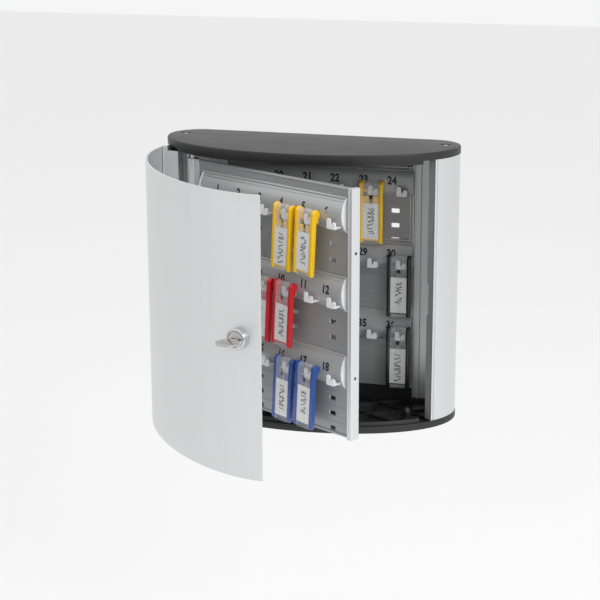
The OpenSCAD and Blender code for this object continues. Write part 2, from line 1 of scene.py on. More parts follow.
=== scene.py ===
"""Looks of a wall key cabinet: D-shaped case, curved door, swinging hook panel and key tags.

Lengths are millimetres in the classes and metres in the meshes.
The axes are +X to the right, +Y into the wall and +Z up.
"""

from __future__ import annotations
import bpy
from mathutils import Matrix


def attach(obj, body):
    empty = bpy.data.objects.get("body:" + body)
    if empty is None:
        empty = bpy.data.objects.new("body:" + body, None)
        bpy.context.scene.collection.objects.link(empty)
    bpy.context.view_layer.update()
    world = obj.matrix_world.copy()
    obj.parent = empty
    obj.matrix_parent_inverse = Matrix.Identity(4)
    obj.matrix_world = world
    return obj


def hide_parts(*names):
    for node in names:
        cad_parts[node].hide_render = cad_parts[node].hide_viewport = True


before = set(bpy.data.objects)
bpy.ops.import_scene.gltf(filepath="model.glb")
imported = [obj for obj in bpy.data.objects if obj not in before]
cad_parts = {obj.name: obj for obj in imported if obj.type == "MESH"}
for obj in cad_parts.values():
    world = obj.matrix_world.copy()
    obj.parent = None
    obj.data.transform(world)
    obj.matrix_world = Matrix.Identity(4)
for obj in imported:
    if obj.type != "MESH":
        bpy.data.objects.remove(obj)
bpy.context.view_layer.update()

import logging
import math
from dataclasses import dataclass, field
from enum import Enum
from typing import Any, Iterable, Optional, Sequence, Union

import bmesh
import bpy
import numpy as np
from mathutils import Matrix, Vector
from mathutils.geometry import tessellate_polygon

Array = np.ndarray
LOG = logging.getLogger("key_cabinet")
MM = 0.001
TAU = 2 * math.pi


# ---------------------------------------------------------------- places and shells


@dataclass(frozen=True)
class Pose:
    """A place: where local x, y and z point, and where the local origin lies, in millimetres."""

    x: tuple[float, float, float] = (1.0, 0.0, 0.0)
    y: tuple[float, float, float] = (0.0, 1.0, 0.0)
    z: tuple[float, float, float] = (0.0, 0.0, 1.0)
    origin: tuple[float, float, float] = (0.0, 0.0, 0.0)

    def put(self, points: Array) -> Array:
        """Moves local points to the parent's axes: p = x*X + y*Y + z*Z + origin."""
        basis = np.array([self.x, self.y, self.z])
        return np.asarray(points, float) @ basis + np.array(self.origin)

    def inside(self, outer: "Pose") -> "Pose":
        """This place seen from the axes that the outer place is given in.

        Args:
            outer: the place that this one is local to.

        Returns:
            The place of both together.
        """
        basis = np.array([self.x, self.y, self.z]) @ np.array([outer.x, outer.y, outer.z])
        origin = outer.put(np.array([self.origin]))[0]
        return Pose(tuple(basis[0]), tuple(basis[1]), tuple(basis[2]), tuple(origin))

    @staticmethod
    def turned_z(degrees: float, at: tuple[float, float, float] = (0.0, 0.0, 0.0)) -> "Pose":
        """A turn about the upright axis through a point, which becomes the local origin."""
        c, s = math.cos(math.radians(degrees)), math.sin(math.radians(degrees))
        return Pose((c, s, 0.0), (-s, c, 0.0), (0.0, 0.0, 1.0), at)

    @staticmethod
    def turned_y(degrees: float, at: tuple[float, float, float] = (0.0, 0.0, 0.0)) -> "Pose":
        """A turn about the local y axis, which leans an upright piece sideways."""
        c, s = math.cos(math.radians(degrees)), math.sin(math.radians(degrees))
        return Pose((c, 0.0, -s), (0.0, 1.0, 0.0), (s, 0.0, c), at)

    @staticmethod
    def at(x: float, y: float, z: float) -> "Pose":
        """A plain shift."""
        return Pose(origin=(x, y, z))



@dataclass
class Shell:
    """Vertices and faces of one or more closed surfaces, in millimetres."""

    verts: Array
    faces: list[list[int]]

    def placed(self, pose: Pose) -> "Shell":
        """A copy moved to a place."""
        return Shell(pose.put(self.verts), self.faces)

    def flipped_up(self, height: float) -> "Shell":
        """A copy mirrored top to bottom: z becomes height - z."""
        verts = self.verts * np.array([1.0, 1.0, -1.0]) + np.array([0.0, 0.0, height])
        return Shell(verts, [face[::-1] for face in self.faces])

    def mirrored_x(self) -> "Shell":
        """A copy mirrored left to right: x becomes -x."""
        return Shell(self.verts * np.array([-1.0, 1.0, 1.0]), [face[::-1] for face in self.faces])

    @staticmethod
    def joined(shells: Iterable["Shell"]) -> "Shell":
        """All the shells as one, each face's numbers moved up by the vertices before it."""
        parts = list(shells)
        starts = np.cumsum([0] + [len(part.verts) for part in parts])
        faces = [
            [index + int(start) for index in face]
            for part, start in zip(parts, starts)
            for face in part.faces
        ]
        return Shell(np.vstack([part.verts for part in parts]), faces)


def loft(rings: Array, ends: bool = True) -> Shell:
    """A closed skin through rings of points.

    Formula: the surface point at (i, j) is ring i's point j, and each cell between
    neighbouring rings and neighbouring points is one quad. The last point of a ring
    joins its first one.

    Args:
        rings: array of rings by points by three.
        ends: whether the first and last ring are filled with one face each.

    Returns:
        The skin.
    """
    count, around = rings.shape[:2]
    i, j = np.meshgrid(np.arange(count - 1), np.arange(around), indexing="ij")
    nxt = (j + 1) % around
    quads = np.stack(
        [i * around + j, i * around + nxt, (i + 1) * around + nxt, (i + 1) * around + j], -1
    )
    faces = quads.reshape(-1, 4).tolist()
    if ends:
        faces.append(list(range(around))[::-1])
        faces.append(list(range((count - 1) * around, count * around)))
    return Shell(rings.reshape(-1, 3), faces)


def prism(outline: Array, low: float, high: float) -> Shell:
    """An outline in x and y carried straight up from z = low to z = high."""
    flat = np.asarray(outline, float)
    rings = np.stack(
        [np.c_[flat, np.full(len(flat), level)] for level in (low, high)]
    )
    return loft(rings)


def lathe(profile: Sequence[tuple[float, float]], around: int = 48) -> Shell:
    """A profile of radius and height turned about the z axis.

    Formula: the point at (i, j) is (r_i cos t_j, r_i sin t_j, h_i), with t_j even
    round the circle. The first and last radius close the ends as flat discs.
    """
    rh = np.asarray(profile, float)
    t = np.linspace(0, TAU, around, endpoint=False)
    ring = np.stack([np.cos(t), np.sin(t)], -1)
    rings = np.concatenate(
        [rh[:, None, :1] * ring[None], np.broadcast_to(rh[:, None, 1:], (len(rh), around, 1))], -1
    )
    return loft(rings)


def block(low: Sequence[float], high: Sequence[float]) -> Shell:
    """A box between two corners, as a rectangle carried upwards."""
    (x0, y0, z0), (x1, y1, z1) = low, high
    return prism(np.array([[x0, y0], [x1, y0], [x1, y1], [x0, y1]]), z0, z1)


def rod(start: Sequence[float], end: Sequence[float], section: Array) -> Shell:
    """A flat section carried along a level line; its first axis is sideways, its second up."""
    a, b = np.array(start, float), np.array(end, float)
    along = (b - a) / np.linalg.norm(b - a)
    side = np.array([-along[1], along[0], 0.0])
    up = np.array([0.0, 0.0, 1.0])
    offsets = section[:, :1] * side + section[:, 1:] * up
    return loft(np.stack([a + offsets, b + offsets]))


def circle(radius: float, count: int = 32, centre: tuple[float, float] = (0.0, 0.0)) -> Array:
    """Points evenly round a circle."""
    t = np.linspace(0, TAU, count, endpoint=False)
    return np.stack([centre[0] + radius * np.cos(t), centre[1] + radius * np.sin(t)], -1)


def arc(centre: tuple[float, float], radius: float, start: float, stop: float, count: int) -> Array:
    """Points of an arc, its angles in degrees, both ends included."""
    t = np.radians(np.linspace(start, stop, count))
    return np.stack([centre[0] + radius * np.cos(t), centre[1] + radius * np.sin(t)], -1)


def rounded(corners: Sequence[Sequence[float]], radii: Union[float, Sequence[float]]) -> Array:
    """A closed outline with its corners rounded.

    Formula: a corner p becomes the quadratic Bezier curve from a to b with p as its
    middle control point, where a and b lie on the two edges at the corner's radius.

    Args:
        corners: the corner points in order.
        radii: one radius for all the corners, or one each.

    Returns:
        The outline's points.
    """
    p = np.asarray(corners, float)
    r = np.broadcast_to(np.asarray(radii, float), (len(p),))[:, None]
    to_last, to_next = np.roll(p, 1, 0) - p, np.roll(p, -1, 0) - p
    a = p + to_last / np.linalg.norm(to_last, axis=1, keepdims=True) * r
    b = p + to_next / np.linalg.norm(to_next, axis=1, keepdims=True) * r
    t = np.linspace(0, 1, 6)[None, :, None]
    curve = (1 - t) ** 2 * a[:, None] + 2 * t * (1 - t) * p[:, None] + t**2 * b[:, None]
    return curve.reshape(-1, 2)


def fill_with_holes(outline: Array, holes: Sequence[Array], level: float) -> Shell:
    """A flat face at a level, with holes left out, as triangles."""
    loops = [[Vector((x, y, 0.0)) for x, y in loop] for loop in [outline, *holes]]
    flat = np.vstack([outline, *holes])
    faces = [list(tri) for tri in tessellate_polygon(loops)]
    return Shell(np.c_[flat, np.full(len(flat), level)], faces)


def wall(loop: Array, low: float, high: float) -> Shell:
    """An upright open wall along a loop."""
    rings = np.stack([np.c_[loop, np.full(len(loop), level)] for level in (low, high)])
    return loft(rings, ends=False)


def slab(outline: Array, holes: Sequence[Array], low: float, high: float) -> Shell:
    """A plate with through holes: two filled faces and a wall along every loop."""
    return Shell.joined(
        [fill_with_holes(outline, holes, low), fill_with_holes(outline, holes, high)]
        + [wall(loop, low, high) for loop in [outline, *holes]]
    )


# ---------------------------------------------------------------- shader graph


Value = Union[float, "Sock"]


class Sock:
    """An output socket in a material, on which sums are written as Python expressions."""

    def __init__(self, graph: "Graph", socket: Any) -> None:
        """Keeps the graph and the socket together."""
        self.graph = graph
        self.socket = socket

    def _math(self, operation: str, first: Value, second: Value) -> "Sock":
        """A Math node on two values."""
        node = self.graph.node("ShaderNodeMath", {"operation": operation}, {0: first, 1: second})
        return Sock(self.graph, node.outputs[0])

    def __add__(self, other: Value) -> "Sock":
        """Sum."""
        return self._math("ADD", self, other)

    __radd__ = __add__

    def __sub__(self, other: Value) -> "Sock":
        """Difference."""
        return self._math("SUBTRACT", self, other)

    def __rsub__(self, other: Value) -> "Sock":
        """Difference with the number first."""
        return self._math("SUBTRACT", other, self)

    def __mul__(self, other: Value) -> "Sock":
        """Product."""
        return self._math("MULTIPLY", self, other)

    __rmul__ = __mul__


class Graph:
    """A material's nodes, made through one method."""

    def __init__(self, name: str) -> None:
        """Starts an empty material with a surface shader and object coordinates."""
        self.material = bpy.data.materials.new(name)
        self.material.use_nodes = True
        self.tree = self.material.node_tree
        self.tree.nodes.clear()
        self.surface = self.tree.nodes.new("ShaderNodeBsdfPrincipled")
        self.output = self.tree.nodes.new("ShaderNodeOutputMaterial")
        self.tree.links.new(self.surface.outputs[0], self.output.inputs[0])
        place = self.tree.nodes.new("ShaderNodeTexCoord")
        self.place = Sock(self, place.outputs["Object"])

    def node(self, kind: str, settings: dict[str, Any], inputs: dict[Any, Any]) -> Any:
        """Makes a node.

        Args:
            kind: the node's type.
            settings: its settings, with a ramp's stops as a list of place and colour.
            inputs: values or sockets for its inputs, by name or number.

        Returns:
            The node.
        """
        made = self.tree.nodes.new(kind)
        for key, value in settings.items():
            if key == "stops":
                ramp = made.color_ramp
                while len(ramp.elements) < len(value):
                    ramp.elements.new(0.5)
                for element, (place, colour) in zip(ramp.elements, value):
                    element.position = place
                    element.color = (*colour, 1.0)
            else:
                setattr(made, key, value)
        for key, value in inputs.items():
            if isinstance(value, Sock):
                self.tree.links.new(value.socket, made.inputs[key])
            else:
                made.inputs[key].default_value = value
        return made

    def stretched(self, scale: Sequence[float]) -> Sock:
        """Object coordinates stretched by a factor along each axis."""
        node = self.node("ShaderNodeMapping", {}, {"Vector": self.place, "Scale": tuple(scale)})
        return Sock(self, node.outputs[0])

    def noise(self, scale: float, detail: float = 3.0, where: Optional[Sock] = None) -> Sock:
        """Smooth noise from 0 to 1; the scale is in bumps a metre."""
        node = self.node(
            "ShaderNodeTexNoise",
            {},
            {"Vector": where or self.place, "Scale": scale, "Detail": detail},
        )
        return Sock(self, node.outputs["Fac"])

    def cells(self, scale: float) -> Sock:
        """Distance to the nearest grain's middle, for a sparked mould texture."""
        node = self.node("ShaderNodeTexVoronoi", {}, {"Vector": self.place, "Scale": scale})
        return Sock(self, node.outputs["Distance"])

    def ramp(self, value: Sock, stops: Sequence[tuple[float, Sequence[float]]]) -> Sock:
        """A colour looked up along a ramp."""
        node = self.node("ShaderNodeValToRGB", {"stops": stops}, {0: value})
        return Sock(self, node.outputs[0])

    def blend(self, factor: Sock, first: Sequence[float], second: Sequence[float]) -> Sock:
        """A colour between two colours."""
        return self.ramp(factor, [(0.0, first), (1.0, second)])

    def bump(self, height: Sock, strength: float, depth: float) -> None:
        """Feeds a height, its depth in millimetres, to the surface's normal."""
        node = self.node(
            "ShaderNodeBump", {}, {"Height": height, "Strength": strength, "Distance": depth * MM}
        )
        self.tree.links.new(node.outputs[0], self.surface.inputs["Normal"])

    def set(self, **values: Any) -> None:
        """Sets surface inputs by name, with an underscore for a space."""
        for name, value in values.items():
            key = name.replace("_", " ")
            if isinstance(value, Sock):
                self.tree.links.new(value.socket, self.surface.inputs[key])
            else:
                self.surface.inputs[key].default_value = value


def tinted(colour: Sequence[float], factor: float) -> tuple[float, float, float]:
    """A colour made lighter or darker by a factor, held below one."""
    return tuple(min(channel * factor, 1.0) for channel in colour)


@dataclass(frozen=True)
class Anodised:
    """Drawn aluminium with a fine matt anodised skin and faint upright draw lines."""

    name: str
    tone: tuple[float, float, float] = (0.66, 0.665, 0.67)
    rough: float = 0.38
    metal: float = 0.7

    def material(self) -> Any:
        """Builds the finish: long thin noise for draw lines, fine noise for the etched grain."""
        graph = Graph(self.name)
        draw = graph.noise(420.0, 2.0, graph.stretched((1.0, 1.0, 0.012)))
        etch = graph.noise(5200.0, 2.0)
        cloud = graph.noise(14.0, 3.0)
        mixed = draw * 0.45 + etch * 0.25 + cloud * 0.3
        graph.set(
            Base_Color=graph.blend(mixed, tinted(self.tone, 0.93), tinted(self.tone, 1.06)),
            Metallic=self.metal,
            Roughness=draw * 0.08 + etch * 0.06 + cloud * 0.05 + (self.rough - 0.1),
        )
        graph.bump(draw * 0.6 + etch * 0.4, 0.18, 0.03)
        return graph.material


@dataclass(frozen=True)
class PlatePaint:
    """Satin grey plate with fine level scores and a faint roller grain."""

    name: str
    tone: tuple[float, float, float] = (0.36, 0.365, 0.37)
    rough: float = 0.46
    metal: float = 0.45

    def material(self) -> Any:
        """Builds the finish: level brushed noise, orange-peel noise and slow clouding."""
        graph = Graph(self.name)
        brushed = graph.noise(300.0, 3.0, graph.stretched((0.03, 0.03, 1.0)))
        peel = graph.noise(1500.0, 2.0)
        cloud = graph.noise(9.0, 2.0)
        mixed = brushed * 0.4 + peel * 0.2 + cloud * 0.4
        graph.set(
            Base_Color=graph.blend(mixed, tinted(self.tone, 0.86), tinted(self.tone, 1.12)),
            Metallic=self.metal,
            Roughness=peel * 0.1 + brushed * 0.08 + (self.rough - 0.08),
        )
        graph.bump(peel * 0.6 + brushed * 0.4, 0.15, 0.03)
        return graph.material


@dataclass(frozen=True)
class Moulding:
    """Moulded black plastic with a fine sparked grain and lighter rubbed spots."""

    name: str
    tone: tuple[float, float, float] = (0.011, 0.011, 0.012)
    rough: float = 0.42
    grain: float = 1700.0

    def material(self) -> Any:
        """Builds the finish: grain cells for the spark texture, noise for wear and dust."""
        graph = Graph(self.name)
        grain = graph.cells(self.grain)
        fine = graph.noise(4200.0, 2.0)
        dust = graph.noise(38.0, 4.0)
        mixed = grain * 0.35 + dust * 0.5 + fine * 0.15
        graph.set(
            Base_Color=graph.blend(mixed, tinted(self.tone, 0.6), tinted(self.tone, 1.7)),
            Roughness=grain * 0.12 + dust * 0.12 + (self.rough - 0.1),
        )
        graph.bump(grain * 0.7 + fine * 0.3, 0.35, 0.05)
        return graph.material


@dataclass(frozen=True)
class Plating:
    """Bright plated or polished metal with hair-fine scratches."""

    name: str
    tone: tuple[float, float, float] = (0.82, 0.82, 0.83)
    rough: float = 0.12
    scratch: float = 0.06

    def material(self) -> Any:
        """Builds the finish: scratches along two directions, faint stains in the shine."""
        graph = Graph(self.name)
        one = graph.noise(900.0, 3.0, graph.stretched((1.0, 0.06, 0.06)))
        two = graph.noise(900.0, 3.0, graph.stretched((0.06, 0.06, 1.0)))
        stain = graph.noise(160.0, 3.0)
        graph.set(
            Base_Color=graph.blend(stain, tinted(self.tone, 0.9), tinted(self.tone, 1.05)),
            Metallic=1.0,
            Roughness=one * self.scratch + two * self.scratch + stain * 0.05 + self.rough * 0.5,
        )
        graph.bump(one * 0.5 + two * 0.5, 0.12, 0.01)
        return graph.material


@dataclass(frozen=True)
class Gloss:
    """Glossy moulded plastic with slight colour flow and faint sink ripples."""

    name: str
    tone: tuple[float, float, float]
    rough: float = 0.24
    glow: float = 0.0

    def material(self) -> Any:
        """Builds the finish: slow flow in the colour, ripples and fine scuffs in the shine."""
        graph = Graph(self.name)
        flow = graph.noise(70.0, 2.0, graph.stretched((1.0, 1.0, 0.4)))
        scuff = graph.noise(1400.0, 3.0)
        graph.set(
            Base_Color=graph.blend(flow, tinted(self.tone, 0.88), tinted(self.tone, 1.1)),
            Roughness=scuff * 0.14 + flow * 0.06 + (self.rough - 0.08),
            Coat_Weight=0.25,
            Coat_Roughness=0.12,
            Subsurface_Weight=self.glow,
            Subsurface_Scale=0.002,
        )
        graph.bump(flow * 0.7 + scuff * 0.3, 0.12, 0.05)
        return graph.material


@dataclass(frozen=True)
class ClearPlastic:
    """Clear plastic: mostly see-through, with bright reflections and small scuffs."""

    name: str
    tone: tuple[float, float, float] = (0.93, 0.95, 0.96)
    alpha: float = 0.17

    def material(self) -> Any:
        """Builds the finish: scuffs lift the roughness and the haze a little."""
        graph = Graph(self.name)
        scuff = graph.noise(900.0, 3.0)
        streak = graph.noise(260.0, 2.0, graph.stretched((1.0, 1.0, 0.2)))
        graph.set(
            Base_Color=graph.blend(streak, tinted(self.tone, 0.9), self.tone),
            Roughness=scuff * 0.1 + 0.04,
            Alpha=streak * 0.1 + (self.alpha - 0.05),
            IOR=1.49,
            Coat_Weight=0.4,
            Coat_Roughness=0.04,
        )
        graph.bump(streak, 0.05, 0.02)
        return graph.material


@dataclass(frozen=True)
class Card:
    """Uncoated white card with paper fibres."""

    name: str
    tone: tuple[float, float, float] = (0.88, 0.88, 0.87)

    def material(self) -> Any:
        """Builds the finish: crossed long noise for the fibres."""
        graph = Graph(self.name)
        one = graph.noise(1500.0, 4.0, graph.stretched((1.0, 1.0, 0.15)))
        two = graph.noise(1500.0, 4.0, graph.stretched((0.2, 1.0, 1.0)))
        graph.set(
            Base_Color=graph.blend(
                one * 0.5 + two * 0.5, tinted(self.tone, 0.93), tinted(self.tone, 1.04)
            ),
            Roughness=one * 0.15 + 0.72,
        )
        graph.bump(one * 0.5 + two * 0.5, 0.2, 0.02)
        return graph.material


@dataclass(frozen=True)
class Ink:
    """Printed or written black ink with a slightly uneven cover."""

    name: str
    tone: tuple[float, float, float] = (0.012, 0.012, 0.014)

    def material(self) -> Any:
        """Builds the finish: uneven cover in the colour and the shine."""
        graph = Graph(self.name)
        cover = graph.noise(2400.0, 3.0)
        graph.set(
            Base_Color=graph.blend(cover, tinted(self.tone, 0.6), tinted(self.tone, 2.4)),
            Roughness=cover * 0.25 + 0.4,
        )
        graph.bump(cover, 0.1, 0.01)
        return graph.material


@dataclass(frozen=True)
class Sweep:
    """Plain pale studio floor."""

    name: str
    tone: tuple[float, float, float] = (0.9, 0.9, 0.9)

    def material(self) -> Any:
        """Builds the finish: a hardly seen mottling."""
        graph = Graph(self.name)
        mottle = graph.noise(2.0, 2.0)
        graph.set(
            Base_Color=graph.blend(mottle, tinted(self.tone, 0.99), self.tone),
            Roughness=0.8,
        )
        return graph.material


class Finish(Enum):
    """The finishes that the cabinet's pieces take, each named for its record slot."""

    ANODISED = "anodised"
    ANODISED_PAINTED_HIGHLIGHT = "anodised_light"
    PLATE = "sheet_grey"
    # A lighter copy of the anodised finish: painted highlight for the end post, whose face catches
    # the light.
    CAP = "cap_plastic"
    STEEL = "bright_steel"
    HOOK = "hook_white"
    CHROME = "lock_chrome"
    KEY = "key_nickel"
    CLEAR = "tag_clear"
    CARD = "tag_paper"
    YELLOW = "tag_yellow"
    RED = "tag_red"
    BLUE = "tag_blue"
    BLACK = "tag_black"


class Palette:
    """Every finish's material, built once."""

    def __init__(self) -> None:
        """Builds the materials."""
        makers = {
            Finish.ANODISED: Anodised("satin_anodised"),
            # Lighter tone than the plain anodised finish: painted highlight on the swing panel's
            # end post, where it catches the key light.
            Finish.ANODISED_PAINTED_HIGHLIGHT: Anodised("anodised_painted_highlight", (0.7, 0.705, 0.71), 0.36, 0.6),
            Finish.PLATE: PlatePaint("satin_plate"),
            Finish.CAP: Moulding("sparked_moulding"),
            Finish.STEEL: Plating("zinc_plate", (0.66, 0.66, 0.65), 0.34, 0.12),
            Finish.HOOK: Gloss("hook_white", (0.84, 0.85, 0.86), 0.3),
            Finish.CHROME: Plating("lock_chrome", (0.6, 0.6, 0.61), 0.1, 0.05),
            Finish.KEY: Plating("key_nickel", (0.5, 0.49, 0.47), 0.18, 0.1),
            Finish.CLEAR: ClearPlastic("clear_tag"),
            Finish.CARD: Card("label_card"),
            Finish.YELLOW: Gloss("tag_yellow", (0.95, 0.56, 0.005), 0.26, 0.1),
            Finish.RED: Gloss("tag_red", (0.6, 0.012, 0.02), 0.26, 0.05),
            Finish.BLUE: Gloss("tag_blue", (0.03, 0.085, 0.32), 0.26, 0.05),
            Finish.BLACK: Gloss("tag_black", (0.012, 0.012, 0.014), 0.3),
        }
        self.of: dict[Finish, Any] = {key: maker.material() for key, maker in makers.items()}
        self.ink = Ink("black_ink").material()
        self.band = PlatePaint("label_band", (0.47, 0.475, 0.48), 0.42, 0.35).material()
        self.floor = Sweep("studio_floor").material()


# ---------------------------------------------------------------- publishing pieces


@dataclass
class Bench:
    """Turns shells into finished pieces and keeps count of them."""

    palette: Palette
    made: list[str] = field(default_factory=list)

    def piece(
        self,
        name: str,
        shell: Shell,
        body: str,
        finish: Finish,
        replaces: Sequence[str] = (),
        bevel: float = 0.0,
        material: Any = None,
        smooth: float = 35.0,
    ) -> Any:
        """Makes a shell a piece of the cabinet.

        Args:
            name: the piece's name.
            shell: its surfaces, in millimetres in the cabinet's axes.
            body: the body it moves with.
            finish: its finish and record slot.
            replaces: the CAD nodes it stands for.
            bevel: width of the rounding of its sharp edges, in millimetres, or 0.
            material: a material other than the finish's own.
            smooth: edges flatter than this angle in degrees are shaded smooth.

        Returns:
            The object.
        """
        mesh = bpy.data.meshes.new(name)
        mesh.from_pydata((shell.verts * MM).tolist(), [], shell.faces)
        welded = bmesh.new()
        welded.from_mesh(mesh)
        bmesh.ops.remove_doubles(welded, verts=welded.verts, dist=2e-6)
        bmesh.ops.dissolve_degenerate(welded, dist=1e-6, edges=welded.edges)
        bmesh.ops.recalc_face_normals(welded, faces=welded.faces)
        welded.to_mesh(mesh)
        welded.free()
        mesh.shade_smooth()
        mesh.set_sharp_from_angle(angle=math.radians(smooth))
        mesh.materials.append(material or self.palette.of[finish])
        obj = bpy.data.objects.new(name, mesh)
        bpy.context.scene.collection.objects.link(obj)
        if bevel:
            edge = obj.modifiers.new("rounded_edges", "BEVEL")
            edge.width = bevel * MM
            edge.segments = 2
            edge.limit_method = "ANGLE"
            edge.angle_limit = math.radians(50)
            edge.use_clamp_overlap = True
        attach(obj, body)
        if replaces:
            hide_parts(*replaces)
        self.made.append(name)
        LOG.info("piece %s on %s: %d faces", name, body, len(mesh.polygons))
        return obj

    def dress(self, nodes: Sequence[str], finish: Finish) -> None:
        """Gives CAD nodes that stay a finish."""
        for node in nodes:
            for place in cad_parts[node].material_slots:
                place.material = self.palette.of[finish]
            LOG.info("dressed %s in %s", node, finish.value)


# ---------------------------------------------------------------- the cabinet's outline


@dataclass(frozen=True)
class Outline:
    """Plan of the cabinet: half an ellipse in front and two round rear corners."""

    half: float = 151.0
    front: float = 86.0
    corner: float = 32.0
    skin_inset: float = 0.5
    skin: float = 2.0
    panel_half: float = 100.0

    def normal(self, a: Array) -> Array:
        """Outward normal of the ellipse at parameter angle a: (cos a / half, -sin a / front)."""
        n = np.stack([np.cos(a) / self.half, -np.sin(a) / self.front], -1)
        return n / np.linalg.norm(n, axis=-1, keepdims=True)

    def ellipse(self, a: Array, inset: Union[float, Array] = 0.0) -> Array:
        """Front points: (half cos a, -corner - front sin a), moved in along the normal."""
        p = np.stack([self.half * np.cos(a), -self.corner - self.front * np.sin(a)], -1)
        return p - np.asarray(inset)[..., None] * self.normal(a)

    def bend(self, side: int, start: float, stop: float, inset: float, count: int = 22) -> Array:
        """Points of a rear corner between two angles in degrees, on the right or the left."""
        centre = side * (self.half - self.corner)
        b = np.radians(np.linspace(start, stop, count))
        radius = self.corner - inset
        return np.stack([centre + side * radius * np.cos(b), -self.corner + radius * np.sin(b)], -1)

    def loop(self, inset: float, count: int = 150) -> Array:
        """The whole closed plan at an inset."""
        a = np.linspace(math.pi * (1 - 1 / count), math.pi / count, count)
        return np.vstack(
            [self.ellipse(a, inset), self.bend(1, 0, 90, inset), self.bend(-1, 90, 0, inset)]
        )

    def angle(self, x: float) -> float:
        """Parameter angle of the front point at a sideways place."""
        return math.acos(x / self.half)

    def side(self, start: float, inset: float) -> Array:
        """Path of a side skin from the front at angle start round the corner to the wall."""
        a = np.linspace(start, 0.004, 40)
        end = np.array([[self.panel_half, -inset]])
        return np.vstack([self.ellipse(a, inset), self.bend(1, 0, 90, inset), end])

    def at_front(self, a: float) -> Pose:
        """Place at a point of the front: x inwards, y towards the hinge side, z up."""
        n = self.normal(np.array(a))
        p = self.ellipse(np.array(a))
        return Pose((-n[0], -n[1], 0.0), (n[1], -n[0], 0.0), (0.0, 0.0, 1.0), (p[0], p[1], 0.0))


PLAN = Outline()
HEIGHT = 280.0
RIM = 7.5
HINGE = (-139.5, -55.5, 0.0)
DOOR_OPEN = 50.5
PIVOT = (-115.0, -66.0, 0.0)
DOOR_EDGE = 135.0
SKIN_IN = PLAN.skin_inset + PLAN.skin
LIP_IN = SKIN_IN + 0.5
FIRST_ROW = HEIGHT - 55.4
ROW_PITCH = 75.6
HOOK_PITCH = 29.9
FIRST_NUMBER = 27.8
BACK_X0 = -PLAN.panel_half
SWING_X0 = 17.5
PANEL_LEN = 226.0
END_POST = 5.5
BAND_BULGE = 6.7
BAND_END_GAP = 4.0
SWING_STRIP_START = 18.0
PANEL_TILT = 0.8
PANEL_RATIO = 0.586
PANEL_OPEN = PANEL_RATIO * DOOR_OPEN - PANEL_TILT
CAP_SEAT = 2.2
PLATE_FRONT = -2.5
PLATE_LOW, PLATE_HIGH = 18.5, 261.5

DOOR_PLACE = Pose.at(-HINGE[0], -HINGE[1], 0).inside(Pose.turned_z(-DOOR_OPEN, HINGE))
PANEL_PLACE = Pose.turned_z(-PANEL_OPEN, PIVOT)


# ---------------------------------------------------------------- caps


